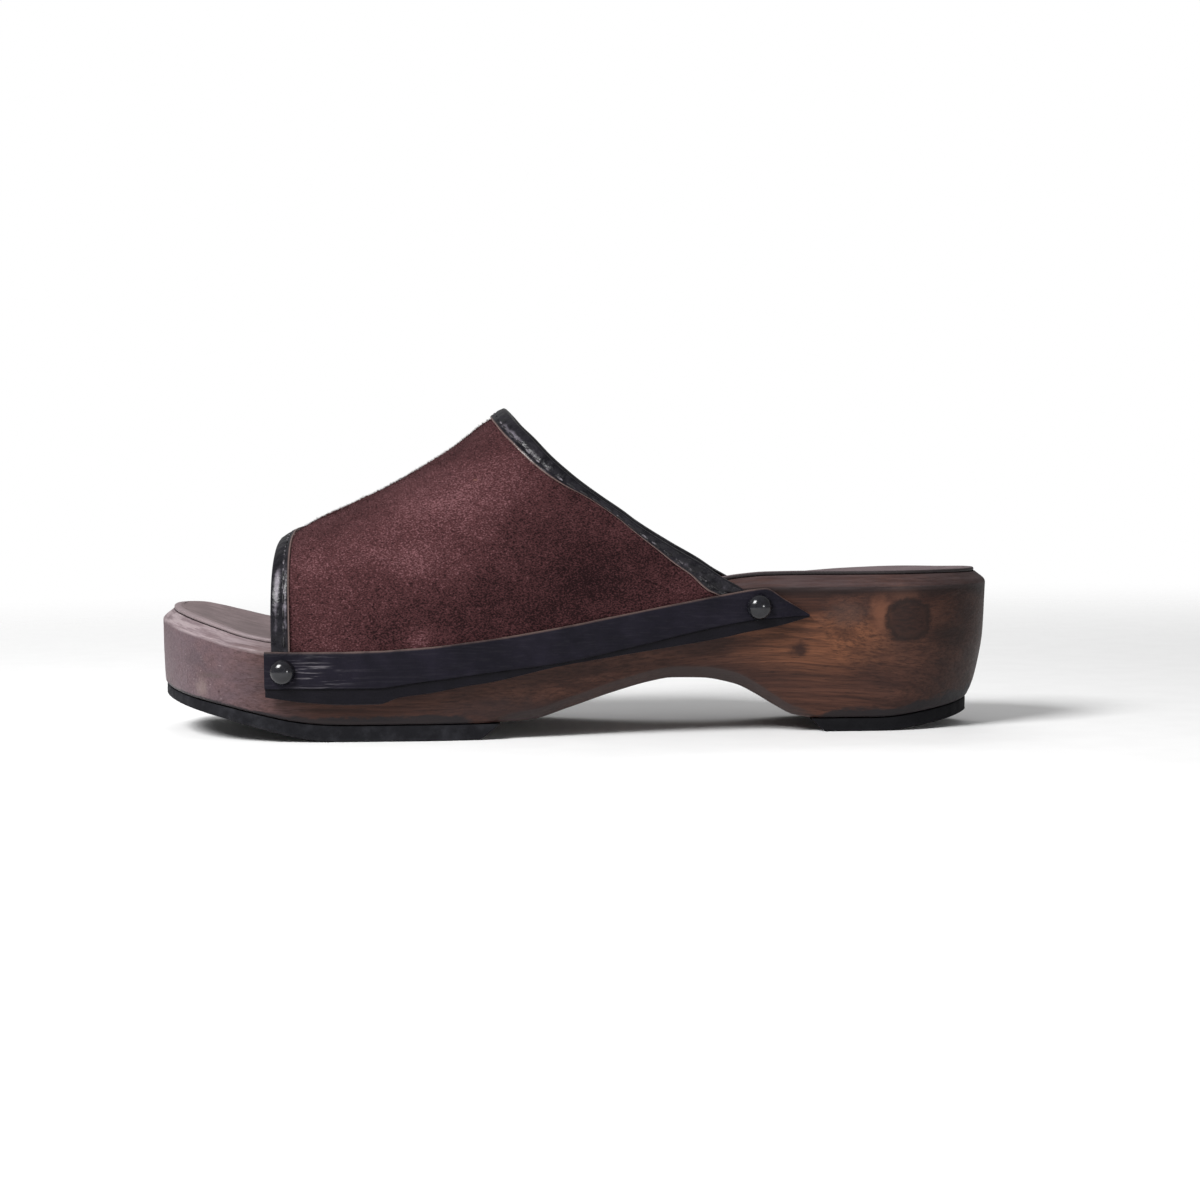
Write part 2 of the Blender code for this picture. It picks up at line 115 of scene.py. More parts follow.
def smooth_curve(xs, ys):
    """A monotone cubic through the points, for whole arrays at once."""
    xs, ys = np.asarray(xs, float), np.asarray(ys, float)
    steps = np.diff(ys) / np.diff(xs)
    before, after = steps[:-1], steps[1:]
    total = before + after
    inner = np.where(before * after > 0, 2 * before * after / np.where(total == 0, 1, total), 0)
    slope = np.concatenate([steps[:1], inner, steps[-1:]])

    def read(s):
        s = np.clip(np.asarray(s, float), xs[0], xs[-1])
        i = np.clip(np.searchsorted(xs, s, side="right") - 1, 0, len(xs) - 2)
        span = xs[i + 1] - xs[i]
        t = (s - xs[i]) / span
        rise = ys[i] * (1 + 2 * t) * (1 - t) ** 2 + ys[i + 1] * t * t * (3 - 2 * t)
        return rise + span * (slope[i] * t * (1 - t) ** 2 - slope[i + 1] * t * t * (1 - t))

    return read


def table(s, **columns):
    return {name: smooth_curve(s, values) for name, values in columns.items()}


# Half widths of the sole's top outline, from the middle line to each side
WIDTHS = table(
    s=(0, 33, 45, 60, 85, 105, 125, 145, 165, 185, 205, 225, 262.5),
    outer=(43, 43.3, 44.7, 45.3, 45.2, 43.3, 39.5, 35.8, 33, 31.2, 30.6, 30.8, 30.8),
    inner=(41, 42.7, 43.5, 44.0, 43.4, 40.4, 35.6, 32, 29.8, 29.4, 30.2, 31, 31),
)

# Height of the sole's upper edge
RIM = table(
    s=(0, 6, 12, 18, 23, 28, 33, 41, 55, 78, 90, 104, 116, 129, 150, 176, 184, 192, 204, 227, 240, 262.5),
    z=(
        39.4, 38.5, 37.3, 36, 34.8, 33.5, 32.4, 31.2, 30.7, 31.1, 31.9,
        33.4, 35.1, 37.7, 42, 47.5, 48.8, 49.4, 49.5, 49.4, 49.4, 49.2,
    ),
)

# How much lower the sole's upper edge is on the inner side than on the outer side
INNER_EDGE = table(
    s=(0, 8, 20, 45, 80, 150, 178, 192, 204, 220, 238, 252, 262.5),
    drop=(0, -0.5, -0.8, -0.8, 0, 0.8, 2.9, 3.1, 2.5, 1.4, 0.8, 0.6, 0),
)

# Hollow of the footbed below its edge, at the middle of the width
DISH = table(
    s=(0, 20, 60, 95, 150, 190, 225, 250, 262.5),
    depth=(0.2, 1.2, 2.2, 2.4, 1.4, 2.0, 3.2, 2.4, 0.4),
)

# Height of what stands on the floor
TREAD = table(
    s=(0, 6, 16, 25, 32, 39, 46, 52, 58, 64, 200, 226, 232, 238, 243, 248, 254, 262.5),
    z=(11.6, 10.4, 8.6, 6.9, 5.3, 3.6, 1.95, 0.85, 0.2, 0, 0, 0, 0.3, 1.0, 1.6, 2.2, 3.0, 4.3),
)

# Height of the wood's underside above the tread
ARCH = table(
    s=(0, 16, 25, 35, 46, 60, 109, 119, 132, 145, 157, 163, 172, 182, 188, 194, 200, 206, 262.5),
    z=(3.4, 3.7, 4.0, 4.3, 4.7, 5.1, 5.1, 5.4, 8.9, 13.1, 16.3, 17.2, 17.0, 15.0, 12.0, 8.3, 5.2, 4.3, 4.3),
)

# The wood's side: how far its foot is tucked in, and the chamfer along its lower edge
SIDE = table(
    s=(0, 14, 30, 60, 104, 118, 140, 180, 200, 210, 235, 250, 262.5),
    tuck=(0.5, 0.6, 0.8, 0.9, 1.0, 1.2, 1.8, 2.0, 2.2, 2.6, 3.4, 4.6, 6.0),
    chamfer=(0.6, 0.6, 0.6, 0.6, 0.6, 2.8, 3.2, 3.2, 2.2, 0.6, 0.6, 0.6, 0.6),
)
TUCK_SHARE = smooth_curve((0, 0.1, 0.28, 0.55, 1.0), (1.0, 0.72, 0.42, 0.14, 0.0))

# Vamp sections: height of the crown, and how square the arch over the foot is
CROWN = table(
    s=(36, 43, 51, 61, 70, 80, 89.5, 98, 105.5, 112, 125, 150, 175, 205),
    z=(57.4, 61, 65.9, 70.3, 74.5, 79.7, 85.3, 91.1, 96.6, 100.4, 106.6, 113.8, 117.8, 119.8),
    squareness=(3.0, 3.0, 2.9, 2.8, 2.75, 2.65, 2.5, 2.4, 2.35, 2.3, 2.2, 2.15, 2.1, 2.1),
)

# The vamp's rear edge as seen from the side
COLLAR = table(
    s=(
        104, 110, 112.7, 115.3, 119, 124.3, 129.8, 134.7, 141.3,
        147.5, 151.7, 163.3, 171.6, 176.8, 184.3, 190, 196, 205,
    ),
    z=(
        104.8, 100.7, 97.8, 94.7, 91.1, 85.4, 80.4, 76.4, 71.6,
        67.3, 64.1, 56.7, 51.8, 48.2, 43.6, 37.8, 29.8, 18.8,
    ),
)

# The binding's depth over the vamp, along the rear edge
INSTEP_BINDING = table(
    s=(107, 116, 120, 124, 130, 134, 138, 142, 150, 162, 172, 181),
    reach=(4.4, 4.9, 5.0, 4.6, 3.8, 2.9, 1.8, 1.4, 1.6, 2.7, 4.1, 5.0),
)

# Side strip: its upper edge, the crease where the thick band ends, and its lower edge
STRIP = table(
    s=(40.6, 52, 65, 74, 80, 89, 100, 106, 128, 150, 176, 187, 190.7, 197, 204.6),
    top=(27.9, 27.7, 27.7, 27.9, 28.2, 28.8, 30, 30.7, 34, 38, 42.6, 44.4, 44.8, 41.1, 36.4),
    crease=(16.6, 16.6, 16.6, 16.6, 17.4, 18.6, 19.9, 20.7, 23.2, 27.5, 33.2, 35, 35.3, 35.7, 36),
    foot=(14, 12.4, 11.6, 11.7, 13.6, 14.8, 16.8, 17.6, 22.2, 25.5, 29.4, 31.7, 32.3, 33.6, 35.6),
)


def smooth(t):
    t = np.clip(t, 0.0, 1.0)
    return t * t * (3 - 2 * t)


def bell(distance, width):
    return np.exp(-(np.asarray(distance) / width) ** 2)


def end_rounding(distance, length, power):
    """Share of the full width at a distance from a rounded end."""
    share = np.clip(1 - np.maximum(distance, 0.0) / length, 0.0, 1.0)
    return np.maximum(1 - share ** power, 0.0) ** (1 / power)


def outline_y(s, side):
    apex = TOE_APEX_Y * (1 - smooth(s / APEX_FADE))
    toe = end_rounding(s, *TOE_ROUND[side])
    heel = end_rounding(SOLE_LENGTH - s, *HEEL_ROUND)
    return apex + SIDES[side] * (WIDTHS[side](s) - SIDES[side] * apex) * toe * heel


def outline_normal(s, side, step=0.5):
    """The unit vector that points out of the outline in plan."""
    rise = outline_y(s + step, side) - outline_y(s - step, side)
    length = np.hypot(2 * step, rise)
    return -SIDES[side] * rise / length, SIDES[side] * 2 * step / length


def drop_of(s, side):
    return INNER_EDGE["drop"](s) if side == "inner" else 0.0 * s


def rim_height(s, side):
    return RIM["z"](s) - drop_of(s, side)


def underside(s):
    return TREAD["z"](s) + ARCH["z"](s)


def points_of(s, y, z):
    s, y, z = np.broadcast_arrays(s, y, z)
    return np.stack([s - HEEL_REST_S, y, z], -1)


def unit(vectors):
    return vectors / np.maximum(np.linalg.norm(vectors, axis=-1, keepdims=True), 1e-9)


def soft_noise(points, size, seed, octaves=3):
    """Smooth noise of about -1 to 1 at each point, for lumps of the given size in millimetres."""
    shift = Vector((seed * 13.7, seed * 7.1, seed * 3.3))
    flat = points.reshape(-1, 3)
    found = [noise.fractal(Vector(p) / size + shift, 0.7, 2.1, octaves) for p in flat]
    return np.asarray(found).reshape(points.shape[:-1])


def grid_faces(rows, columns, closed=False, start=0):
    """Four-cornered faces of a grid of points; closed joins its last column to its first."""
    row = np.arange(rows - 1)[:, None]
    column = np.arange(columns if closed else columns - 1)[None, :]
    after = (column + 1) % columns
    corners = (row * columns + column, row * columns + after, (row + 1) * columns + after)
    faces = np.stack([*corners, (row + 1) * columns + column], -1)
    return faces.reshape(-1, 4) + start


def band_faces(rows, columns, cap_steps):
    """Faces of a band whose section is a closed row of points, with a cap of so many faces at each end."""
    faces = [grid_faces(rows, columns, closed=True)]
    k = np.arange(cap_steps)
    for start, flip in ((0, False), ((rows - 1) * columns, True)):
        cap = np.stack([k, k + 1, columns - 2 - k, columns - 1 - k], -1) + start
        faces.append(cap[:, ::-1] if flip else cap)
    return np.concatenate(faces)


def wrap_faces(points, faces):
    """The faces turned so that the closed surface has a positive volume."""
    a, b, c, d = (points[faces[:, k]] for k in range(4))
    volume = np.einsum("ij,ij->i", a, np.cross(b, c)).sum() + np.einsum("ij,ij->i", a, np.cross(c, d)).sum()
    return faces if volume > 0 else faces[:, ::-1]


def make_piece(name, points, faces, material, replaces=(), marks=None, smooth_angle=40.0):
    """A finished piece from points in millimetres. marks are numbers kept on each point for its material."""
    faces = wrap_faces(points, faces)
    corner_lists = [list(dict.fromkeys(face)) for face in faces.tolist()]
    mesh = bpy.data.meshes.new(name)
    mesh.from_pydata((points * MM).tolist(), [], [face for face in corner_lists if len(face) > 2])
    for mark, values in (marks or {}).items():
        layer = mesh.attributes.new(mark, "FLOAT", "POINT")
        layer.data.foreach_set("value", np.asarray(values, np.float32).ravel())
    mesh.validate()
    mesh.shade_smooth()
    mesh.set_sharp_from_angle(angle=math.radians(smooth_angle))
    mesh.materials.append(material)
    piece = bpy.data.objects.new(name, mesh)
    bpy.context.scene.collection.objects.link(piece)
    settle(piece, replaces)
    return piece


def settle(piece, replaces=()):
    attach(piece, "root")
    if replaces:
        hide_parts(*replaces)


# Materials

def new_material(name):
    material = bpy.data.materials.new(name)
    material.use_nodes = True
    return material, Nodes(material.node_tree)


class Nodes:
    """A short way to write shader nodes."""

    def __init__(self, tree):
        self.tree = tree
        self.shader = tree.nodes["Principled BSDF"]

    def add(self, kind, **settings):
        node = self.tree.nodes.new(kind)
        for key, value in settings.items():
            setattr(node, key, value)
        return node

    def put(self, socket, value):
        if isinstance(value, bpy.types.NodeSocket):
            self.tree.links.new(value, socket)
        elif isinstance(value, (tuple, list)) and socket.type == "RGBA":
            socket.default_value = (*value[:3], 1.0)
        else:
            socket.default_value = value

    def place(self):
        return self.add("ShaderNodeTexCoord").outputs["Object"]

    def mark(self, name):
        return self.add("ShaderNodeAttribute", attribute_name=name).outputs["Fac"]

    def mapped(self, vector, scale, turn=(0, 0, 0)):
        node = self.add("ShaderNodeMapping")
        self.put(node.inputs["Vector"], vector)
        node.inputs["Scale"].default_value = scale
        node.inputs["Rotation"].default_value = turn
        return node.outputs["Vector"]

    def noise(self, vector, scale, detail=3.0, roughness=0.55, distortion=0.0):
        node = self.add("ShaderNodeTexNoise")
        self.put(node.inputs["Vector"], vector)
        node.inputs["Scale"].default_value = scale
        node.inputs["Detail"].default_value = detail
        node.inputs["Roughness"].default_value = roughness
        node.inputs["Distortion"].default_value = distortion
        return node.outputs["Fac"]

    def cells(self, vector, scale):
        node = self.add("ShaderNodeTexVoronoi", feature="F1")
        self.put(node.inputs["Vector"], vector)
        node.inputs["Scale"].default_value = scale
        return node.outputs["Distance"]

    def math(self, operation, a, b):
        node = self.add("ShaderNodeMath", operation=operation)
        self.put(node.inputs[0], a)
        self.put(node.inputs[1], b)
        return node.outputs[0]

    def plus(self, a, b):
        return self.math("ADD", a, b)

    def minus(self, a, b):
        return self.math("SUBTRACT", a, b)

    def times(self, a, b):
        return self.math("MULTIPLY", a, b)

    def swing(self, value, amount):
        """Noise of 0 to 1 made to go as far below 0 as above it."""
        return self.times(self.minus(value, 0.5), amount)

    def ramp(self, value, low, high, to_low=0.0, to_high=1.0):
        """The value taken from low..high to to_low..to_high, held at the ends."""
        node = self.add("ShaderNodeMapRange", interpolation_type="SMOOTHSTEP")
        self.put(node.inputs["Value"], value)
        for key, number in (("From Min", low), ("From Max", high), ("To Min", to_low), ("To Max", to_high)):
            node.inputs[key].default_value = number
        return node.outputs["Result"]

    def mix(self, factor, a, b):
        node = self.add("ShaderNodeMix", data_type="RGBA")
        self.put(node.inputs["Factor"], factor)
        colours = [socket for socket in node.inputs if socket.type == "RGBA"]
        self.put(colours[0], a)
        self.put(colours[1], b)
        return next(socket for socket in node.outputs if socket.type == "RGBA")

    def spot(self, vector, centre, size):
        """The distance from a place on the shoe: 0 there, and 1 at size away on an axis, in metres."""
        shifted = self.add("ShaderNodeVectorMath", operation="SUBTRACT")
        self.put(shifted.inputs[0], vector)
        shifted.inputs[1].default_value = centre
        scaled = self.add("ShaderNodeVectorMath", operation="DIVIDE")
        self.put(scaled.inputs[0], shifted.outputs[0])
        scaled.inputs[1].default_value = size
        length = self.add("ShaderNodeVectorMath", operation="LENGTH")
        self.put(length.inputs[0], scaled.outputs[0])
        return length.outputs["Value"]

    def bump(self, heights):
        """Bump from a list of (height, distance in metres, strength), one upon the other."""
        normal = None
        for height, distance, strength in heights:
            node = self.add("ShaderNodeBump")
            node.inputs["Distance"].default_value = distance
            node.inputs["Strength"].default_value = strength
            self.put(node.inputs["Height"], height)
            if normal is not None:
                self.put(node.inputs["Normal"], normal)
            normal = node.outputs["Normal"]
        self.put(self.shader.inputs["Normal"], normal)

    def surface(self, colour, roughness, **constants):
        self.put(self.shader.inputs["Base Color"], colour)
        self.put(self.shader.inputs["Roughness"], roughness)
        for key, value in constants.items():
            self.put(self.shader.inputs[key.replace("_", " ")], value)


def at(s, y, z):
    """A place on the shoe in metres, from s, y and z in millimetres."""
    return ((s - HEEL_REST_S) * MM, y * MM, z * MM)


# Stains and pale rubs on the outer side of the wood: place in (s, z), reach, strength and colour
WOOD_MARKS = (
    ((108.0, 9.0), (26.0, 6.0), 0.60, (0.020, 0.0125, 0.0135)),
    ((216.0, 36.5), (9.0, 5.5), 0.40, (0.062, 0.040, 0.035)),
    ((247.0, 29.0), (7.0, 6.0), 0.60, (0.014, 0.007, 0.006)),
    ((226.6, 36.5), (4.4, 8.0), 0.70, (0.150, 0.060, 0.034)),
    ((233.5, 42.6), (8.0, 3.0), 0.65, (0.130, 0.053, 0.032)),
    ((15.5, 25.0), (5.0, 3.5), 0.45, (0.070, 0.052, 0.060)),
    ((21.5, 20.0), (6.0, 1.2), 0.50, (0.075, 0.055, 0.052)),
    ((18.5, 16.0), (3.0, 4.0), 0.35, (0.260, 0.200, 0.180)),
    ((24.5, 15.2), (0.6, 0.6), 0.90, (0.040, 0.020, 0.024)),
    ((36.5, 21.0), (3.0, 3.0), 0.30, (0.080, 0.055, 0.058)),
)


def wood_material():
    material, n = new_material("Stained wood")
    place = n.place()
    wander = n.noise(n.mapped(place, (9, 30, 30)), 1.0, 2.0)
    lift = n.add("ShaderNodeCombineXYZ")
    n.put(lift.inputs["Z"], n.swing(wander, 0.012))
    knot_far = n.spot(place, at(234.4, -31, 34.9), (0.012, 0.08, 0.010))
    bend = n.times(n.ramp(knot_far, 0.3, 2.4, 1.0, 0.0), 0.007)
    n.put(lift.inputs["Y"], bend)
    moved = n.add("ShaderNodeVectorMath", operation="ADD")
    n.put(moved.inputs[0], place)
    n.put(moved.inputs[1], lift.outputs[0])
    grain_place = moved.outputs[0]
    broad = n.noise(n.mapped(grain_place, (14, 260, 260)), 1.0, 4.0, 0.6)
    fine = n.noise(n.mapped(grain_place, (45, 1500, 1500)), 1.0, 4.0, 0.7)
    pores = n.noise(n.mapped(grain_place, (130, 2600, 2600)), 1.0, 2.0, 0.5)
    blotch = n.noise(place, 38.0, 3.0, 0.6)
    brown = n.mix(n.ramp(broad, 0.3, 0.72), (0.034, 0.0130, 0.0094), (0.086, 0.0345, 0.0220))
    orange = n.ramp(n.spot(place, at(209, -30, 27.5), (0.027, 0.2, 0.0095)), 0.2, 1.5, 1.0, 0.0)
    orange = n.times(orange, n.ramp(broad, 0.25, 0.65, 0.35, 1.0))
    colour = n.mix(n.times(orange, 0.7), brown, (0.215, 0.082, 0.038))
    # Paler wood towards the toe: partly the wood's own stain, partly painted light, since the toe lies nearer
    # the key light.
    pale = n.ramp(n.spot(place, at(0, 0, 22), (0.062, 0.4, 0.4)), 0.25, 0.95, 1.0, 0.0)
    pale = n.times(pale, n.ramp(blotch, 0.3, 0.7, 0.6, 1.0))
    colour = n.mix(n.times(pale, 0.92), colour, (0.150, 0.106, 0.124))
    colour = n.mix(n.ramp(blotch, 0.45, 0.75, 0.0, 0.40), colour, (0.024, 0.013, 0.013))
    smoother = n.minus(1.0, n.times(pale, 0.7))
    streaks = n.times(n.ramp(fine, 0.38, 0.68, 0.0, 0.68), smoother)
    colour = n.mix(streaks, colour, (0.018, 0.008, 0.0065))
    flecks = n.ramp(n.noise(n.mapped(grain_place, (240, 2600, 2600)), 1.0, 3.0, 0.6), 0.55, 0.72, 0.0, 0.6)
    colour = n.mix(n.times(flecks, smoother), colour, (0.010, 0.005, 0.0045))
    # Darker wood at the heel's rear end: partly the wood's own stain, partly painted shade where the rounded
    # back turns away from the key light.
    dark_heel_end_and_shade = n.ramp(n.spot(place, at(262, 0, 26), (0.030, 0.1, 0.1)), 0.25, 1.0, 0.62, 0.0)
    colour = n.mix(dark_heel_end_and_shade, colour, (0.016, 0.0085, 0.0075))
    grey = n.times(n.mark("chamfer"), n.ramp(blotch, 0.3, 0.7, 0.65, 0.95))
    colour = n.mix(grey, colour, (0.042, 0.031, 0.030))
    for (s0, z0), (reach_s, reach_z), strength, tint in WOOD_MARKS:
        off = n.spot(place, at(s0, -34, z0), (reach_s * MM, 0.06, reach_z * MM))
        off = n.plus(off, n.swing(n.noise(place, 330.0, 3.0), 0.9))
        colour = n.mix(n.ramp(off, 0.2, 1.1, strength, 0.0), colour, tint)
    knot_edge = n.spot(place, at(235.1, -31, 34.4), (0.0070, 0.1, 0.0062))
    knot_edge = n.plus(knot_edge, n.swing(n.noise(place, 330.0, 4.0, 0.65), 0.7))
    knot_colour = n.mix(n.ramp(fine, 0.35, 0.7), (0.012, 0.0050, 0.0042), (0.034, 0.0140, 0.0105))
    colour = n.mix(n.ramp(knot_edge, 0.6, 1.2, 0.9, 0.0), colour, knot_colour)
    ring = n.times(n.ramp(knot_edge, 0.7, 0.95), n.ramp(knot_edge, 0.95, 1.2, 1.0, 0.0))
    colour = n.mix(n.times(ring, 0.75), colour, (0.010, 0.005, 0.0045))
    small_edge = n.spot(place, at(201.6, -31, 25.6), (0.0036, 0.1, 0.0026))
    small_edge = n.plus(small_edge, n.swing(n.noise(place, 420.0, 3.0), 1.2))
    colour = n.mix(n.ramp(small_edge, 0.3, 1.2, 0.85, 0.0), colour, (0.016, 0.007, 0.0065))
    ragged = n.noise(n.mapped(place, (160, 260, 420)), 1.0, 4.0, 0.7)
    ragged = n.plus(n.mark("dressing"), n.swing(ragged, 1.3))
    colour = n.mix(n.ramp(ragged, 0.45, 0.85, 0.0, 0.9), colour, (0.012, 0.011, 0.013))
    band = n.times(n.mark("band"), n.ramp(blotch, 0.3, 0.7, 0.3, 0.65))
    colour = n.mix(band, colour, (0.050, 0.031, 0.032))
    colour = n.mix(n.times(n.mark("band_line"), 0.75), colour, (0.010, 0.006, 0.006))
    sides = n.add("ShaderNodeSeparateXYZ")
    n.put(sides.inputs[0], place)
    beside = n.add("ShaderNodeCombineXYZ")
    n.put(beside.inputs["X"], n.times(sides.outputs["X"], 70.0))
    n.put(beside.inputs["Y"], n.times(sides.outputs["Y"], 70.0))
    n.put(beside.inputs["Z"], n.times(n.mark("below_rim"), 1.1))
    # Pale on the top bevel towards the toe: partly real wear, partly a painted highlight along the bevel's
    # edge.
    wear_and_highlight_noise = n.ramp(n.noise(beside.outputs[0], 1.0, 4.0, 0.7), 0.38, 0.62, 0.3, 1.0)
    worn = n.times(n.mark("wear"), wear_and_highlight_noise)
    colour = n.mix(n.times(worn, 0.85), colour, (0.34, 0.28, 0.29))
    scratch = n.ramp(n.noise(n.mapped(place, (90, 900, 2200), turn=(0, 0.12, 0)), 1.0, 2.0, 0.4), 0.68, 0.74)
    colour = n.mix(n.times(scratch, n.times(pale, 0.35)), colour, (0.45, 0.36, 0.36))
    n.surface(colour, n.ramp(fine, 0.3, 0.8, 0.42, 0.62), Specular_IOR_Level=0.16, Coat_Weight=0.06,
              Coat_Roughness=0.3)
    grain_height = n.times(fine, n.minus(1.0, n.times(pale, 0.75)))
    n.bump([(grain_height, 0.0003, 0.35), (pores, 0.0002, 0.35), (broad, 0.0006, 0.25)])
    return material


def insole_material():
    material, n = new_material("Insole leather")
    place = n.place()
    mottled = n.noise(place, 90.0, 4.0, 0.6)
    drawn = n.noise(n.mapped(place, (45, 420, 420)), 1.0, 4.0, 0.7)
    colour = n.mix(n.ramp(mottled, 0.3, 0.7), (0.190, 0.140, 0.145), (0.250, 0.190, 0.195))
    colour = n.mix(n.ramp(drawn, 0.40, 0.66, 0.0, 0.6), colour, (0.115, 0.088, 0.086))
    worn = n.ramp(n.spot(place, at(70, 0, 30), (0.05, 0.04, 0.05)), 0.2, 1.3, 0.35, 0.0)
    colour = n.mix(worn, colour, (0.16, 0.12, 0.12))
    heel = n.ramp(n.spot(place, at(215, 0, 50), (0.08, 0.06, 0.05)), 0.4, 1.2, 0.5, 0.0)
    colour = n.mix(heel, colour, (0.085, 0.066, 0.075))
    # rim: a pale painted highlight along the insole's rounded edge towards the toe.
    rim = n.times(n.mark("rim"), n.ramp(drawn, 0.3, 0.7, 0.3, 0.8))
    colour = n.mix(rim, colour, (0.26, 0.21, 0.22))
    score = n.times(n.mark("score"), n.ramp(mottled, 0.3, 0.7, 0.3, 0.85))
    colour = n.mix(score, colour, (0.070, 0.050, 0.050))
    colour = n.mix(n.mark("edge"), colour, (0.018, 0.013, 0.014))
    grain = n.cells(place, 900.0)
    n.surface(colour, n.ramp(mottled, 0.3, 0.8, 0.5, 0.68), Specular_IOR_Level=0.35)
    n.bump([(grain, 0.0002, 0.3), (mottled, 0.0006, 0.2)])
    return material


def rubber_material():
    material, n = new_material("Tread rubber")
    place = n.place()
    dust = n.noise(place, 160.0, 4.0, 0.65)
    fine = n.noise(place, 1400.0, 2.0, 0.6)
    colour = n.mix(n.ramp(dust, 0.42, 0.78, 0.0, 0.7), (0.0065, 0.0065, 0.0085), (0.026, 0.026, 0.031))
    heel = n.ramp(n.spot(place, at(236, 0, 5), (0.06, 0.2, 0.05)), 0.5, 1.2, 0.8, 0.0)
    colour = n.mix(heel, colour, (0.0035, 0.0035, 0.0045))
    n.surface(colour, 0.75, Specular_IOR_Level=0.12)
    n.bump([(fine, 0.0003, 0.4), (dust, 0.0005, 0.3)])
    return material


def suede_material():
    material, n = new_material("Burgundy suede")
    place = n.place()
    nap = n.noise(n.mapped(place, (0.8, 1.0, 1.0), turn=(0, 0.5, 0)), 62.0, 5.0, 0.66, 0.5)
    mottle = n.noise(place, 230.0, 3.0, 0.6)
    speck = n.noise(n.mapped(place, (1.0, 1.5, 1.5), turn=(0, 0.5, 0)), 1700.0, 2.0, 0.6)
    # The light mark holds the vamp's patches: partly the nap's tone, partly painted light from the upper
    # left.
    tone = n.mark("light")
    for pattern, amount in ((nap, 0.8), (mottle, 0.35), (speck, 2.3)):
        tone = n.plus(tone, n.swing(pattern, amount))
    colour = n.mix(n.ramp(tone, -0.05, 0.5), (0.013, 0.0056, 0.0064), (0.060, 0.0230, 0.0248))
    colour = n.mix(n.ramp(tone, 0.5, 1.15), colour, (0.175, 0.080, 0.088))
    nick = n.spot(place, at(103.1, -12, 78.6), (0.0011, 0.03, 0.0006))
    nick = n.plus(nick, n.swing(n.noise(place, 900.0, 2.0), 1.2))
    colour = n.mix(n.ramp(nick, 0.4, 1.0, 0.8, 0.0), colour, (0.25, 0.12, 0.09))
    n.surface(colour, 0.95, Specular_IOR_Level=0.05, Sheen_Weight=0.05, Sheen_Roughness=0.5,
              Sheen_Tint=(0.75, 0.55, 0.57))
    n.bump([(speck, 0.0007, 0.6), (mottle, 0.0010, 0.35)])
    return material


def binding_material():
    material, n = new_material("Binding leather")
    place = n.place()
    grain = n.cells(place, 1300.0)
    smear = n.noise(place, 260.0, 4.0, 0.65)
    # rub: pale rubs, and on the toe binding also a painted highlight near its front edge.
    rub = n.ramp(n.plus(n.times(smear, 0.9), n.times(n.mark("rub"), 0.55)), 0.62, 1.05)
    colour = n.mix(n.ramp(smear, 0.3, 0.7), (0.0045, 0.0042, 0.0060), (0.0135, 0.0125, 0.0165))
    colour = n.mix(n.times(rub, 0.8), colour, (0.19, 0.17, 0.20))
    colour = n.mix(n.mark("raw"), colour, (0.17, 0.115, 0.105))
    n.surface(colour, n.ramp(smear, 0.3, 0.75, 0.26, 0.42), Specular_IOR_Level=0.17, Coat_Weight=0.07,
              Coat_Roughness=0.15)
    n.bump([(grain, 0.0002, 0.35), (smear, 0.0006, 0.35)])
    return material


def strip_material():
    material, n = new_material("Strip leather")
    place = n.place()
    along = n.noise(n.mapped(place, (70, 900, 1100), turn=(0, 0.10, 0)), 1.0, 4.0, 0.65)
    grain = n.cells(place, 1500.0)
    smear = n.noise(place, 120.0, 4.0, 0.6)
    colour = n.mix(n.ramp(smear, 0.3, 0.75), (0.0035, 0.0029, 0.0070), (0.0082, 0.0066, 0.0135))
    lines = n.noise(n.mapped(place, (80, 1000, 2000), turn=(0, 0.12, 0)), 1.0, 3.0, 0.6)
    scuff = n.times(n.mark("rub"), n.ramp(lines, 0.52, 0.64))
    colour = n.mix(n.times(scuff, 0.9), colour, (0.15, 0.14, 0.155))
    # fold: painted shade, dark along the crease and over the lip beneath the thick band.
    colour = n.mix(n.times(n.mark("fold"), 0.8), colour, (0.0015, 0.0013, 0.002))
    raw = n.times(n.mark("raw"), n.ramp(smear, 0.3, 0.6, 0.35, 1.0))
    colour = n.mix(raw, colour, (0.15, 0.10, 0.085))
    n.surface(colour, n.ramp(along, 0.3, 0.8, 0.46, 0.62), Specular_IOR_Level=0.13)
    n.bump([(grain, 0.0002, 0.3), (along, 0.0003, 0.3)])
    return material


def stud_material():
    material, n = new_material("Black stud")
    smear = n.noise(n.place(), 700.0, 3.0, 0.6)
    colour = n.mix(n.ramp(smear, 0.3, 0.8), (0.006, 0.006, 0.008), (0.014, 0.014, 0.018))
    n.surface(colour, n.ramp(smear, 0.3, 0.8, 0.20, 0.28), Specular_IOR_Level=0.20, Coat_Weight=0.6,
              Coat_Roughness=0.08)
    n.bump([(smear, 0.0002, 0.12)])
    return material


def thread_material():
    material, n = new_material("Waxed thread")
    wear = n.noise(n.place(), 420.0, 3.0, 0.6)
    colour = n.mix(n.ramp(wear, 0.50, 0.66), (0.010, 0.009, 0.011), (0.17, 0.155, 0.175))
    n.surface(colour, 0.6, Specular_IOR_Level=0.4)
    n.bump([(n.noise(n.mapped(n.place(), (3000, 3000, 3000)), 1.0), 0.0002, 0.4)])
    return material


def nap_material():
    material, n = new_material("Suede nap")
    tone = n.noise(n.place(), 60.0, 3.0, 0.6)
    colour = n.mix(n.ramp(tone, 0.35, 0.7), (0.030, 0.012, 0.013), (0.090, 0.040, 0.043))
    n.surface(colour, 0.95, Specular_IOR_Level=0.1)
    return material


# Sole

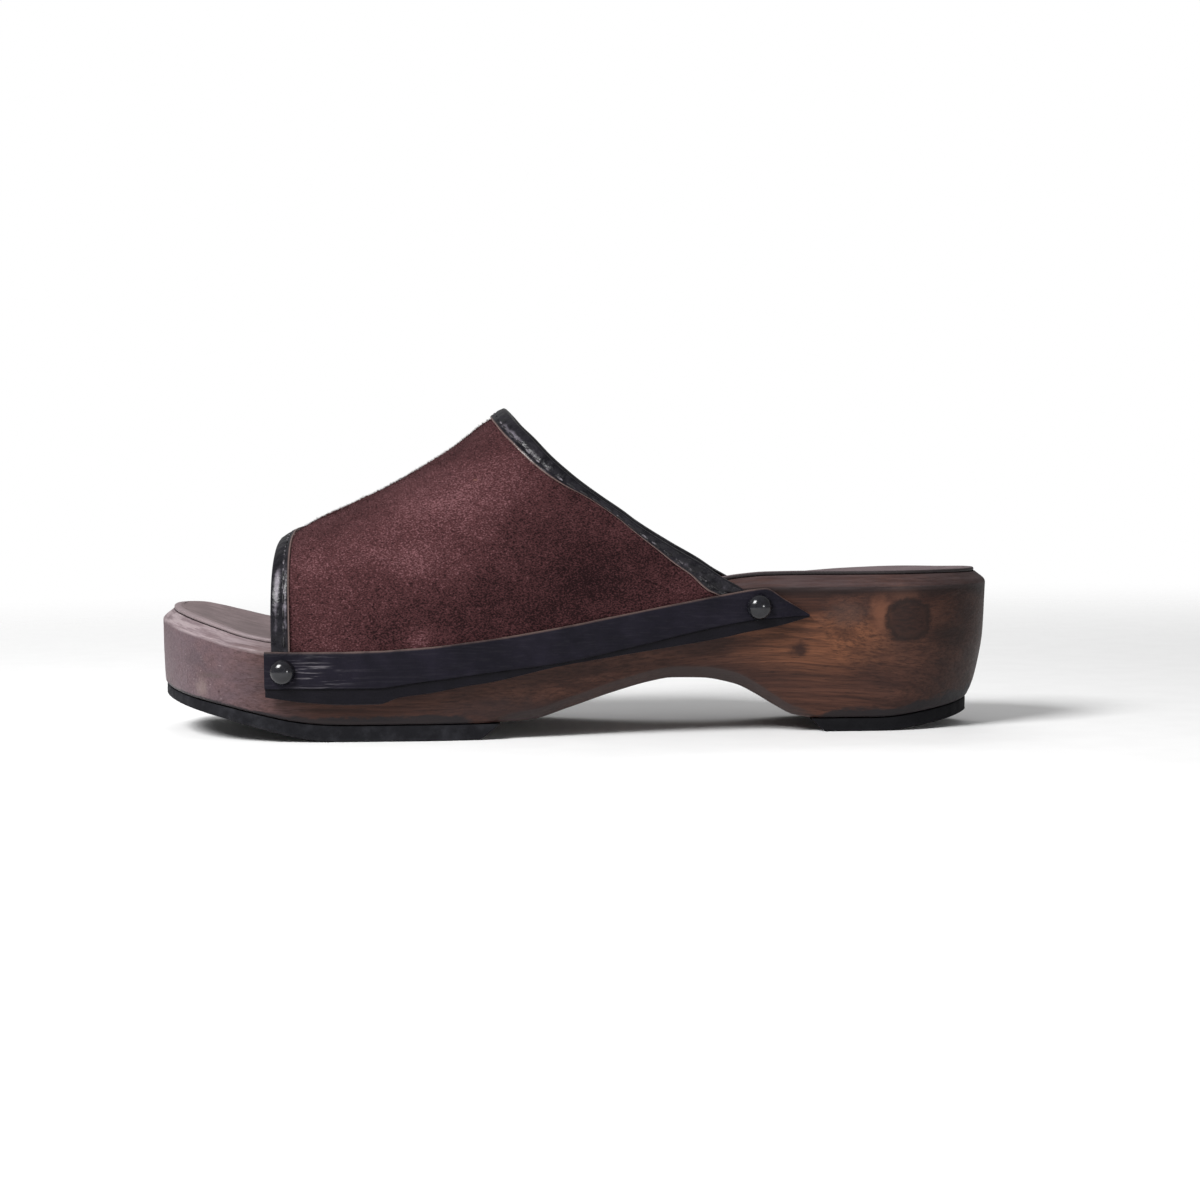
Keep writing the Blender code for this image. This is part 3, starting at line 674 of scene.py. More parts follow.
def sole_ring(steps=RING_STEPS):
    """Stations round the sole: s, y, outward normal and side, from the toe along the outer side and back."""
    angles = np.pi * np.arange(steps + 1) / steps
    stations = SOLE_LENGTH * (1 - np.cos(angles)) / 2
    middle = stations[1:-1]
    s, y, along, across, sides = [0.0], [TOE_APEX_Y], [-1.0], [0.0], ["outer"]
    for side, order in (("outer", middle), ("inner", middle[::-1])):
        step = np.minimum(0.5, np.minimum(0.5 * order, 0.5 * (SOLE_LENGTH - order)))
        normal = outline_normal(order, side, step)
        s.extend(order)
        y.extend(outline_y(order, side))
        along.extend(normal[0])
        across.extend(normal[1])
        sides.extend([side] * len(order))
        if side == "outer":
            s.append(SOLE_LENGTH)
            y.append(0.0)
            along.append(1.0)
            across.append(0.0)
            sides.append("outer")
    ring = {"s": np.array(s), "y": np.array(y), "along": np.array(along), "across": np.array(across)}
    ring["inner"] = np.array([side == "inner" for side in sides])
    ring["rim"] = RIM["z"](ring["s"]) - np.where(ring["inner"], INNER_EDGE["drop"](ring["s"]), 0.0)
    return ring


def ring_points(ring, inset, z):
    return points_of(ring["s"] - ring["along"] * inset, ring["y"] - ring["across"] * inset, z)


def eased_end(corner, neighbour, radius, most=0.45):
    """Where the easing of a corner ends: a radius away, or the most of a side that it may take."""
    side = neighbour - corner
    length = np.linalg.norm(side, axis=-1, keepdims=True)
    return corner + np.where(length * most < radius, side * most, unit(side) * radius)


def rounded_profile(corners, radius, steps=4):
    """A line of (inset, z) stations with each inner corner eased by a short curve."""
    line = [corners[0]]
    for before, corner, after in zip(corners, corners[1:], corners[2:]):
        start, end = eased_end(corner, before, radius), eased_end(corner, after, radius)
        for k in range(steps + 1):
            t = k / steps
            line.append(start * (1 - t) ** 2 + corner * 2 * t * (1 - t) + end * t * t)
    line.append(corners[-1])
    return line


def cap_grid(points, ring_start, count, strips, hollow):
    """Faces across a closed ring of points, lowered in the middle by the hollow at each station."""
    half = count // 2
    faces, inner, rows = [], [], []
    first_new = len(points)
    for k in range(half + 1):
        a, b = ring_start + k, ring_start + (count - k) % count
        if a == b:
            rows.append([a] * (strips + 1))
            continue
        row = [a]
        for step in range(1, strips):
            share = step / strips
            point = points[a] * (1 - share) + points[b] * share
            point = point - np.array([0, 0, hollow[k] * (1 - (2 * share - 1) ** 2)])
            row.append(first_new + len(inner))
            inner.append(point)
        rows.append(row + [b])
    for row, after in zip(rows, rows[1:]):
        for step in range(strips):
            faces.append((row[step], row[step + 1], after[step + 1], after[step]))
    return np.vstack([points, np.array(inner)]) if inner else points, np.array(faces)


def make_wood():
    ring = sole_ring()
    s = ring["s"]
    under, tuck, chamfer = underside(s), SIDE["tuck"](s), SIDE["chamfer"](s)
    low, high = under + chamfer, ring["rim"] - TOP_BEVEL_DROP
    bed = ring["rim"] - INSOLE_THICKNESS - BED_GAP

    def at_height(inset, z):
        return np.stack([inset + 0 * s, z + 0 * s], -1)

    heights = np.linspace(0, 1, 17)
    side_line = [at_height(tuck * TUCK_SHARE(h), low + (high - low) * h) for h in heights]
    corners = [at_height(tuck + chamfer + 3.0, under), at_height(tuck + chamfer, under), side_line[0]]
    lower = rounded_profile(corners + [side_line[1]], 0.9)[1:-1]
    top_corners = [side_line[-2], side_line[-1], at_height(TOP_BEVEL_WIDTH, bed)]
    upper = rounded_profile(top_corners, 1.5, 6)[1:-1]
    bevel = [upper[-1] * (1 - t) + top_corners[-1] * t for t in (0.35, 0.7, 1.0)]
    levels = lower + side_line[1:-1] + upper + bevel
    count, rows = len(s), len(levels)
    points = np.concatenate([ring_points(ring, level[:, 0], level[:, 1]) for level in levels])
    chamfer_rows = np.zeros((rows, count))
    chamfer_rows[: len(lower)] = np.clip((chamfer - 0.8) / 1.5, 0, 1)
    chamfer_rows[len(lower) - 1] *= 0.25
    # The wear rows mark the top bevel towards the toe, for pale wear and a painted highlight there.
    wear_and_highlight_rows = np.zeros((rows, count))
    top_rows = slice(len(lower) + len(side_line) - 2, rows)
    wear_and_highlight_rows[top_rows] = np.clip(1.15 - s / 62, 0, 1) * 0.9 + 0.10
    above = np.stack([level[:, 1] - under for level in levels])
    beside_rubber = 1 - smooth((s - 98) / 10) * (1 - smooth((s - 202) / 10))
    dressing_height = 1.6 + 2.4 * smooth((s - 30) / 50) + 3.0 * smooth((s - 232) / 25)
    dressing_rows = np.clip(1.3 - above / dressing_height, 0, 1) * beside_rubber
    band_rows, line_rows = np.zeros((rows, count)), np.zeros((rows, count))
    band_rows[top_rows] = smooth((s - 110) / 60)
    line_rows[top_rows.start - 1: top_rows.start + 1] = smooth((s - 110) / 60)
    outward = np.tile(np.stack([ring["along"], ring["across"], 0 * s], -1), (rows, 1))
    points = points + 0.10 * soft_noise(points, 26.0, 1)[:, None] * outward
    faces = [grid_faces(rows, count, closed=True)]
    points, floor_faces = cap_grid(points, 0, count, 8, 0 * s)
    points, bed_faces = cap_grid(points, (rows - 1) * count, count, 20, DISH["depth"](s))
    faces += [floor_faces[:, ::-1], bed_faces]
    below_rim = np.stack([ring["rim"] - level[:, 1] for level in levels])
    painted = {
        "chamfer": chamfer_rows, "wear": wear_and_highlight_rows, "dressing": dressing_rows, "band": band_rows,
        "band_line": line_rows, "below_rim": below_rim,
    }
    rest = np.zeros(len(points) - rows * count)
    marks = {key: np.concatenate([values.ravel(), rest]) for key, values in painted.items()}
    make_piece("wooden_sole", points, np.concatenate(faces), WOOD, ["wood_sole"], marks, 50)


# The insole's edge from its underside up: inset and height, and how much each mark shows there
# The rim mark is a painted highlight along the rounded edge at the toe.
INSOLE_EDGE = (
    {"inset": 0.35, "z": -INSOLE_THICKNESS, "edge": 1.00, "rim": 1.0, "score": 0.0},
    {"inset": 0.05, "z": -1.00, "edge": 1.00, "rim": 1.0, "score": 0.0},
    {"inset": 0.00, "z": -0.60, "edge": 1.00, "rim": 1.0, "score": 0.0},
    {"inset": 0.05, "z": -0.25, "edge": 0.95, "rim": 1.0, "score": 0.0},
    {"inset": 0.30, "z": -0.04, "edge": 0.45, "rim": 1.0, "score": 0.0},
    {"inset": 0.80, "z": 0.00, "edge": 0.00, "rim": 1.0, "score": 0.0},
    {"inset": 1.90, "z": 0.00, "edge": 0.00, "rim": 0.9, "score": 0.1},
    {"inset": 2.40, "z": -0.03, "edge": 0.00, "rim": 0.2, "score": 1.0},
    {"inset": 2.90, "z": 0.00, "edge": 0.00, "rim": 0.0, "score": 0.0},
)


def make_insole():
    ring = sole_ring()
    s = ring["s"]
    levels = [ring_points(ring, INSOLE_INSET + row["inset"], ring["rim"] + row["z"]) for row in INSOLE_EDGE]
    count, rows = len(s), len(levels)
    points = np.concatenate(levels)
    toe_share = 1 - smooth((s - 45) / 40)
    edge_share = 0.12 + 0.88 * smooth((s - 50) / 70)
    faces = [grid_faces(rows, count, closed=True)]
    points, low_faces = cap_grid(points, 0, count, 20, DISH["depth"](s))
    low_count = len(points)
    points, top_faces = cap_grid(points, (rows - 1) * count, count, 24, DISH["depth"](s))
    faces += [low_faces[:, ::-1], top_faces]
    marks = {}
    for key, share in (("edge", edge_share), ("rim", toe_share), ("score", toe_share)):
        marks[key] = np.zeros(len(points))
        marks[key][: rows * count] = np.concatenate([row[key] * share for row in INSOLE_EDGE])
    marks["edge"][rows * count: low_count] = 1.0
    make_piece("insole_lining", points, np.concatenate(faces), INSOLE,
               ["insole"], marks, 60)


def rubber_ring(cut_s, at_toe):
    """Stations of one end of the sole, from its pole round both sides to a straight cut."""
    ring = sole_ring(RUBBER_RING_STEPS)
    half = len(ring["s"]) // 2
    pole = 0 if at_toe else half
    near = [(pole + k) % len(ring["s"]) for k in range(1, half)]
    near = [k for k in near if (ring["s"][k] < cut_s) == at_toe]
    far = [(pole - k) % len(ring["s"]) for k in range(1, len(near) + 1)]
    ends = ("outer", "inner") if at_toe else ("inner", "outer")
    cut = {"s": [cut_s, cut_s], "y": [outline_y(cut_s, side) for side in ends]}
    cut["along"], cut["across"] = zip(*(outline_normal(cut_s, side) for side in ends))
    return {key: np.concatenate([ring[key][[pole] + near], cut[key], ring[key][far[::-1]]]) for key in cut}


def make_rubber(name, node, cut_s, slant, at_toe, seed):
    ring = rubber_ring(cut_s, at_toe)
    s, count = ring["s"], len(ring["s"])
    ends = (count // 2, count // 2 + 1)
    low, high = TREAD["z"](s), underside(s) - GAP
    tuck = SIDE["tuck"](s)
    foot_in, edge_in = RUBBER_FOOT_IN, RUBBER_EDGE_IN
    profile = [
        (foot_in + 0.5, 0.0), (foot_in, 0.03), (foot_in - 0.35, 0.25), (edge_in + 0.05, RUBBER_FOOT_HEIGHT),
        (edge_in, 1.4), (edge_in, 2.4),
    ]
    levels = [(tuck + inset, low + z) for inset, z in profile]
    levels += [(tuck + edge_in, high - 0.35), (tuck + edge_in + 0.15, high)]
    rows = []
    for inset, z in levels:
        points = ring_points(ring, inset, z)
        lean = slant * (z - low) / (high - low)
        for k in ends:
            points[k, 0] += lean[k]
        rows.append(points)
    points = np.concatenate(rows)
    rough = soft_noise(points, 5.0, seed)
    outward = np.tile(np.stack([ring["along"], ring["across"], 0 * s], -1), (len(rows), 1))
    row_of = np.repeat(np.arange(len(rows)), count)
    depth = np.where(row_of > 2, 0.22, 0.0)
    points = points + (rough * depth)[:, None] * outward - 0.12 * outward * (row_of > 2)[:, None]
    faces = [grid_faces(len(rows), count, closed=True)]
    pairs = [(0, 0)] + [(k, count - k) for k in range(1, (count - 1) // 2 + 1)]
    for start, flip in ((0, True), ((len(rows) - 1) * count, False)):
        cap = np.array([(a, b, d, c) for (a, b), (c, d) in zip(pairs, pairs[1:])]) + start
        faces.append(cap[:, ::-1] if flip else cap)
    make_piece(name, points, np.concatenate(faces), RUBBER, [node], None, 40)


# Vamp

def vamp_point(s, girth):
    """The vamp's outer face. girth is -1 at the outer hem, 0 at the crown and 1 at the inner hem."""
    s, girth = np.broadcast_arrays(np.asarray(s, float), np.asarray(girth, float))
    share = np.abs(girth)
    found = {}
    for side in SIDES:
        across = np.abs(outline_normal(s, side)[1])
        wall_y = outline_y(s, side) + SIDES[side] * VAMP_OUT / across
        arch_foot = rim_height(s, side) - ARCH_START_BELOW_RIM
        hem = STRIP["foot"](s) - drop_of(s, side) + HEM_ABOVE_STRIP_FOOT
        up = np.clip((1 - share) / (1 - ARCH_SHARE), 0, 1)
        angle = np.pi / 2 * (1 - np.clip(share / ARCH_SHARE, 0, 1))
        power = 2 / CROWN["squareness"](s)
        y = CROWN_Y + (wall_y - CROWN_Y) * np.maximum(np.cos(angle), 0) ** power
        z = arch_foot + (CROWN["z"](s) - arch_foot) * np.maximum(np.sin(angle), 0) ** power
        on_wall = share > ARCH_SHARE
        found[side] = (np.where(on_wall, wall_y, y), np.where(on_wall, hem + (arch_foot - hem) * up, z))
    outer = girth < 0
    y = np.where(outer, found["outer"][0], found["inner"][0])
    z = np.where(outer, found["outer"][1], found["inner"][1])
    return points_of(s, y, z)


def front_s(girth):
    height = vamp_point(VAMP_FRONT_S, girth)[..., 2]
    return VAMP_FRONT_S + VAMP_FRONT_LEAN * (height / CROWN["z"](VAMP_FRONT_S)) ** 2


def rear_s(girth):
    low = np.full(np.shape(girth), VAMP_FRONT_S)
    high = np.full(np.shape(girth), STRIP_TIP_S)
    for _ in range(32):
        middle = (low + high) / 2
        below = vamp_point(middle, girth)[..., 2] < COLLAR["z"](middle)
        low, high = np.where(below, middle, low), np.where(below, high, middle)
    return low


def vamp_normal(s, girth):
    along = vamp_point(s + 0.4, girth) - vamp_point(s - 0.4, girth)
    across = vamp_point(s, girth + 0.004) - vamp_point(s, girth - 0.004)
    normal = unit(np.cross(across, along))
    outward = vamp_point(s, girth) - points_of(s, 0.0, RIM["z"](s))
    flip = np.sign(np.einsum("...i,...i->...", normal, outward))
    return normal * flip[..., None]


# Soft troughs and ridges of the vamp, on its outer side: from and to in (s, z), depth and width
CREASES = (
    {"from": (112, 60), "to": (137, 56), "depth": 0.35, "width": 2.6},
    {"from": (118, 66), "to": (140, 60), "depth": -0.25, "width": 4.0},
    {"from": (60, 50), "to": (96, 61), "depth": 0.30, "width": 7.0},
    {"from": (66, 40), "to": (104, 47), "depth": -0.30, "width": 8.0},
    {"from": (128, 50), "to": (160, 47), "depth": 0.35, "width": 5.0},
    {"from": (84, 72), "to": (104, 84), "depth": 0.25, "width": 5.0},
)


def crease_depth(points):
    s, z = points[..., 0] + HEEL_REST_S, points[..., 2]
    depth = np.zeros(s.shape)
    for crease in CREASES:
        (s0, z0), (s1, z1) = crease["from"], crease["to"]
        length = math.hypot(s1 - s0, z1 - z0)
        along = ((s - s0) * (s1 - s0) + (z - z0) * (z1 - z0)) / length ** 2
        off = ((z - z0) * (s1 - s0) - (s - s0) * (z1 - z0)) / length
        ends = smooth((along + 0.15) / 0.3) * smooth((1.15 - along) / 0.3)
        depth += crease["depth"] * bell(off, crease["width"]) * ends
    return depth


# Lighter and darker patches on the outer side, partly the nap's own tone and partly painted light (lighter
# high up, darker low and to the rear): place in (s, z), reach, and how much lighter
NAP_AND_LIGHT_PATCHES = (
    {"at": (93, 72), "reach": (17, 9), "light": 0.42},
    {"at": (112, 78), "reach": (10, 10), "light": 0.30},
    {"at": (70, 57), "reach": (24, 10), "light": 0.22},
    {"at": (94, 55), "reach": (16, 7), "light": 0.18},
    {"at": (52, 40), "reach": (13, 16), "light": 0.10},
    {"at": (58, 32), "reach": (10, 5), "light": 0.10},
    {"at": (78, 33), "reach": (13, 4), "light": -0.08},
    {"at": (86, 31), "reach": (4, 3), "light": 0.30},
    {"at": (104, 39), "reach": (22, 8), "light": -0.14},
    {"at": (140, 50), "reach": (26, 13), "light": -0.24},
    {"at": (120, 62), "reach": (16, 9), "light": -0.02},
)


def nap_tone_and_painted_light(points):
    s, z = points[..., 0] + HEEL_REST_S, points[..., 2]
    strength = np.where(points[..., 1] < CROWN_Y, 1, 0.7)
    light = np.full(s.shape, 0.36)
    for patch in NAP_AND_LIGHT_PATCHES:
        (s0, z0), (reach_s, reach_z) = patch["at"], patch["reach"]
        light += patch["light"] * bell(s - s0, reach_s) * bell(z - z0, reach_z) * strength
    return light


def vamp_sheet(across_steps, along_steps):
    girth = np.linspace(-1, 1, across_steps + 1)[:, None]
    share = np.linspace(0, 1, along_steps + 1)[None, :]
    start, end = front_s(girth[:, 0])[:, None], rear_s(girth[:, 0])[:, None]
    return start + (end - start) * share, girth + 0 * share


def make_vamp():
    s, girth = vamp_sheet(240, 130)
    outer = vamp_point(s, girth)
    normal = vamp_normal(s, girth)
    clear = smooth((0.82 - np.abs(girth)) / 0.08)
    share = np.linspace(0, 1, s.shape[1])[None, :]
    edges = smooth(share / 0.05) * smooth((1 - share) / 0.05)
    swell = 0.30 * soft_noise(outer, 16.0, 2) - crease_depth(outer) * (outer[..., 1] < CROWN_Y)
    outer = outer + normal * (swell * clear * edges)[..., None]
    inner = outer - normal * LEATHER
    rows, columns = s.shape
    points = np.concatenate([outer.reshape(-1, 3), inner.reshape(-1, 3)])
    size = rows * columns
    faces = [grid_faces(rows, columns), grid_faces(rows, columns, start=size)[:, ::-1]]
    number = np.arange(size).reshape(rows, columns)
    loop = np.concatenate([number[0], number[1:, -1], number[-1, -2::-1], number[-2:0:-1, 0]])
    after = np.roll(loop, -1)
    faces.append(np.stack([after, loop, loop + size, after + size], -1))
    light = nap_tone_and_painted_light(outer).ravel()
    marks = {"light": np.concatenate([light, np.full(size, 0.15)])}
    make_piece("suede_upper", points, np.concatenate(faces), SUEDE, ["suede_vamp"], marks, 60)
    return outer, normal


# Bindings

# Pale rubs on the bindings, and on the toe binding one painted highlight: place and reach as shares of the
# length, then millimetres in from the edge, width and strength
TOE_RUBS_AND_HIGHLIGHTS = (
    {"at": 0.16, "reach": 0.05, "in": 1.6, "wide": 0.9, "amount": 0.75},
    {"at": 0.11, "reach": 0.09, "in": 3.7, "wide": 0.7, "amount": 0.75},
    # A painted highlight: the glossy vertical streak near the toe binding's front edge.
    {"at": 0.10, "reach": 0.09, "in": 0.9, "wide": 0.7, "amount": 0.60},
    {"at": 0.30, "reach": 0.10, "in": 3.2, "wide": 1.2, "amount": 0.30},
    {"at": 0.84, "reach": 0.05, "in": 1.6, "wide": 0.9, "amount": 0.60},
)
INSTEP_RUBS = (
    {"at": 0.375, "reach": 0.05, "in": 3.0, "wide": 1.1, "amount": 0.85},
    {"at": 0.625, "reach": 0.05, "in": 3.0, "wide": 1.1, "amount": 0.60},
    {"at": 0.05, "reach": 0.06, "in": 2.4, "wide": 1.3, "amount": 0.50},
)


def toe_reach(s):
    return TOE_BINDING_REACH + 0 * s


def binding_path(edge_s, end, steps):
    girth = np.linspace(-end, end, steps)
    s = edge_s(girth)
    edge = vamp_point(s, girth)
    length = np.concatenate([[0], np.cumsum(np.linalg.norm(np.diff(edge, axis=0), axis=1))])
    even = np.interp(np.linspace(0, length[-1], steps), length, girth)
    return even, np.linspace(0, length[-1], steps)


def binding_frame(edge_s, girth, inward):
    """For each place on an edge: its s, its point, and how far s runs for a millimetre into the vamp."""
    s = edge_s(girth)
    edge = vamp_point(s, girth)
    step = 0.01
    line = vamp_point(s + 1, girth) - vamp_point(s - 1, girth)
    after, before = (vamp_point(edge_s(girth + turn), girth + turn) for turn in (step, -step))
    tangent = unit(after - before)
    crossing = np.maximum(np.linalg.norm(np.cross(unit(line), tangent), axis=-1), LEAST_CROSSING)
    rate = np.linalg.norm(line, axis=-1) / 2
    return s, edge, inward / (rate * crossing)


def make_binding(name, node, edge_s, inward, end, reach_at, steps, rub_and_highlight_spots):
    """Leather folded round an edge of the vamp, puckered by its row of stitches."""
    girth, length = binding_path(edge_s, end, steps)
    s, edge, per_mm = binding_frame(edge_s, girth, inward)
    reach = reach_at(s)
    rim = np.where(girth < 0, rim_height(s, "outer"), rim_height(s, "inner"))
    inner_leg = smooth((edge[:, 2] - rim - 0.5) / 3.0)
    outside = GAP + BINDING_LEATHER
    ahead = unit(edge - vamp_point(s + per_mm, girth))
    normal = vamp_normal(s, girth)
    pucker = 0.5 + 0.5 * np.cos(2 * np.pi * length / STITCH_PITCH)
    stitch_line = 0.66 * reach
    plain = np.zeros(len(girth))
    rings, rub, raw = [], [], []

    def leg_point(t, out):
        """A point over the vamp's outer face, t in from its edge and out above it."""
        place = vamp_point(s + per_mm * t, girth)
        return place + vamp_normal(s + per_mm * t, girth) * np.asarray(out)[..., None]

    def rub_and_highlight_of(t):
        found = np.zeros(len(girth))
        for spot in rub_and_highlight_spots:
            beside = bell(length / length[-1] - spot["at"], spot["reach"])
            found += spot["amount"] * beside * bell(t - spot["in"], spot["wide"])
        return found

    def ring(points, rubbed=plain, raw_edge=plain):
        rings.append(points)
        rub.append(rubbed)
        raw.append(raw_edge)

    lump = soft_noise(edge, 6.0, 5, 2)
    for t in np.linspace(reach, 0.0, 11):
        dent = -0.34 * bell(t - stitch_line, 0.55) * (0.45 + 0.55 * pucker)
        swell = 0.16 * bell(t - stitch_line + 1.5, 0.9) * (1 - pucker) + 0.10 * lump
        rise = outside + dent + swell - 0.22 * bell(t - reach, 0.35)
        ring(leg_point(t + 0.10 * lump * (t > reach - 0.2), rise), rub_and_highlight_of(t), np.where(t == reach, 1.0, 0.0))
    middle = edge - normal * (LEATHER / 2)
    radius = LEATHER / 2 + outside
    for k in range(1, 8):
        rise, fall = math.sin(math.pi * k / 8), math.cos(math.pi * k / 8)
        fold = middle + ahead * (outside * 1.02 * rise) + normal * (radius * fall)
        ring(fold, rub_and_highlight_of(-0.6) * (0.5 + 0.5 * fall))
    for t in np.linspace(0.0, reach, 7):
        depth = -(LEATHER + GAP * 0.4 + (BINDING_LEATHER + GAP * 0.6) * inner_leg)
        ring(leg_point(t * inner_leg, depth))
    ring(leg_point(reach * inner_leg, plain - LEATHER - 0.05))
    ring(leg_point(plain + 0.15, plain - LEATHER + 0.35))
    ring(leg_point(plain + 0.15, plain + 0.05))
    ring(leg_point(reach, plain + 0.08), raw_edge=plain + 0.85)
    grid = np.stack(rings, 1)
    rows, columns = grid.shape[:2]
    points = grid.reshape(-1, 3)
    marks = {"rub": np.stack(rub, 1).ravel(), "raw": np.stack(raw, 1).ravel()}
    faces = band_faces(rows, columns, columns // 2 - 1)
    make_piece(name, points, faces, BINDING, [node], marks, 60)
    make_stitches(name + "_stitches", leg_point(stitch_line, plain + outside - 0.16))


def end_tree(tree, spread, material, result):
    """The instances made plain geometry of one material."""
    real = tree.nodes.new("GeometryNodeRealizeInstances")
    tree.links.new(spread.outputs[0], real.inputs[0])
    painted = tree.nodes.new("GeometryNodeSetMaterial")
    tree.links.new(real.outputs[0], painted.inputs["Geometry"])
    tree.links.new(material, painted.inputs["Material"])
    tree.links.new(painted.outputs[0], result.inputs[0])


def stitch_tree():
    """Geometry nodes that lay short stitches along a line. Sizes are named inputs."""
    tree = bpy.data.node_groups.new("Stitch row", "GeometryNodeTree")
    face = tree.interface
    face.new_socket("Line", in_out="INPUT", socket_type="NodeSocketGeometry")
    sizes = (("Pitch", STITCH_PITCH), ("Stitch length", STITCH_LENGTH), ("Thread radius", THREAD_RADIUS))
    for name, value in sizes:
        face.new_socket(name, in_out="INPUT", socket_type="NodeSocketFloat").default_value = value * MM
    face.new_socket("Thread", in_out="INPUT", socket_type="NodeSocketMaterial")
    face.new_socket("Stitches", in_out="OUTPUT", socket_type="NodeSocketGeometry")
    node = tree.nodes.new
    link = tree.links.new
    given, result = node("NodeGroupInput"), node("NodeGroupOutput")
    spaced = node("GeometryNodeResampleCurve")
    spaced.mode = "LENGTH"
    link(given.outputs["Line"], spaced.inputs["Curve"])
    link(given.outputs["Pitch"], spaced.inputs["Length"])
    ball = node("GeometryNodeMeshUVSphere")
    ball.inputs["Segments"].default_value = 10
    ball.inputs["Rings"].default_value = 8
    ball.inputs["Radius"].default_value = 1.0
    half = node("ShaderNodeMath")
    half.operation = "MULTIPLY"
    half.inputs[1].default_value = 0.5
    link(given.outputs["Stitch length"], half.inputs[0])
    size = node("ShaderNodeCombineXYZ")
    link(given.outputs["Thread radius"], size.inputs["X"])
    link(given.outputs["Thread radius"], size.inputs["Y"])
    link(half.outputs[0], size.inputs["Z"])
    tangent = node("GeometryNodeInputTangent")
    turn = node("FunctionNodeAlignEulerToVector")
    turn.axis = "Z"
    link(tangent.outputs[0], turn.inputs["Vector"])
    spread = node("GeometryNodeInstanceOnPoints")
    link(spaced.outputs[0], spread.inputs["Points"])
    link(ball.outputs["Mesh"], spread.inputs["Instance"])
    link(turn.outputs[0], spread.inputs["Rotation"])
    link(size.outputs[0], spread.inputs["Scale"])
    end_tree(tree, spread, given.outputs["Thread"], result)
    return tree


def socket_id(tree, name):
    inputs = [item for item in tree.interface.items_tree if item.in_out == "INPUT"]
    return next(item.identifier for item in inputs if item.name == name)


def line_object(name, path):
    curve = bpy.data.curves.new(name, "CURVE")
    curve.dimensions = "3D"
    spline = curve.splines.new("POLY")
    spline.points.add(len(path) - 1)
    for point, place in zip(spline.points, path * MM):
        point.co = (*place, 1.0)
    line = bpy.data.objects.new(name, curve)
    bpy.context.scene.collection.objects.link(line)
    return line


def grown_mesh(carrier, tree, inputs):
    """The plain mesh that a Geometry Nodes tree makes on an object."""
    grown = carrier.modifiers.new("Grown", "NODES")
    grown.node_group = tree
    for name, value in inputs.items():
        grown[socket_id(tree, name)] = value
    graph = bpy.context.evaluated_depsgraph_get()
    mesh = bpy.data.meshes.new_from_object(carrier.evaluated_get(graph))
    carrier.modifiers.remove(grown)
    return mesh


def make_stitches(name, path):
    line = line_object(name + "_line", path)
    mesh = grown_mesh(line, STITCH_TREE, {"Pitch": STITCH_PITCH * MM, "Thread": THREAD})
    bpy.data.objects.remove(line, do_unlink=True)
    mesh.shade_smooth()
    piece = bpy.data.objects.new(name, mesh)
    bpy.context.scene.collection.objects.link(piece)
    settle(piece)


def fibre_tree():
    """Geometry nodes that stand short fibres on a surface. Sizes are named inputs and the seed is fixed."""
    tree = bpy.data.node_groups.new("Suede nap", "GeometryNodeTree")
    face = tree.interface
    face.new_socket("Surface", in_out="INPUT", socket_type="NodeSocketGeometry")
    sizes = (
        ("Fibres per square metre", FIBRES_PER_SQUARE_METRE),
        ("Fibre length", FIBRE_LENGTH * MM),
        ("Fibre radius", FIBRE_RADIUS * MM),
    )
    for name, value in sizes:
        face.new_socket(name, in_out="INPUT", socket_type="NodeSocketFloat").default_value = value
    face.new_socket("Seed", in_out="INPUT", socket_type="NodeSocketInt").default_value = 7
    face.new_socket("Fibre", in_out="INPUT", socket_type="NodeSocketMaterial")
    face.new_socket("Nap", in_out="OUTPUT", socket_type="NodeSocketGeometry")
    node = tree.nodes.new
    link = tree.links.new
    given, result = node("NodeGroupInput"), node("NodeGroupOutput")
    strewn = node("GeometryNodeDistributePointsOnFaces")
    link(given.outputs["Surface"], strewn.inputs["Mesh"])
    link(given.outputs["Fibres per square metre"], strewn.inputs["Density"])
    link(given.outputs["Seed"], strewn.inputs["Seed"])
    spike = node("GeometryNodeMeshCone")
    spike.fill_type = "NONE"
    spike.inputs["Vertices"].default_value = 3
    spike.inputs["Radius Top"].default_value = 0.0
    link(given.outputs["Fibre radius"], spike.inputs["Radius Bottom"])
    link(given.outputs["Fibre length"], spike.inputs["Depth"])
    lean = node("FunctionNodeRandomValue")
    lean.data_type = "FLOAT_VECTOR"
    vectors = [socket for socket in lean.inputs if socket.type == "VECTOR"]
    vectors[0].default_value = (-0.9, -0.9, -3.0)
    vectors[1].default_value = (0.9, 0.9, 3.0)
    turned = node("FunctionNodeRotateEuler")
    turned.rotation_type = "EULER"
    turned.space = "LOCAL"
    link(strewn.outputs["Rotation"], turned.inputs["Rotation"])
    link(next(socket for socket in lean.outputs if socket.type == "VECTOR"), turned.inputs["Rotate By"])
    longer = node("FunctionNodeRandomValue")
    shortest, longest = [socket for socket in longer.inputs if socket.type == "VALUE" and socket.enabled]
    shortest.default_value = 0.5
    longest.default_value = 1.3
    share = next(socket for socket in longer.outputs if socket.type == "VALUE" and socket.enabled)
    spread = node("GeometryNodeInstanceOnPoints")
    link(strewn.outputs["Points"], spread.inputs["Points"])
    link(spike.outputs["Mesh"], spread.inputs["Instance"])
    link(turned.outputs[0], spread.inputs["Rotation"])
    link(share, spread.inputs["Scale"])
    end_tree(tree, spread, given.outputs["Fibre"], result)
    return tree


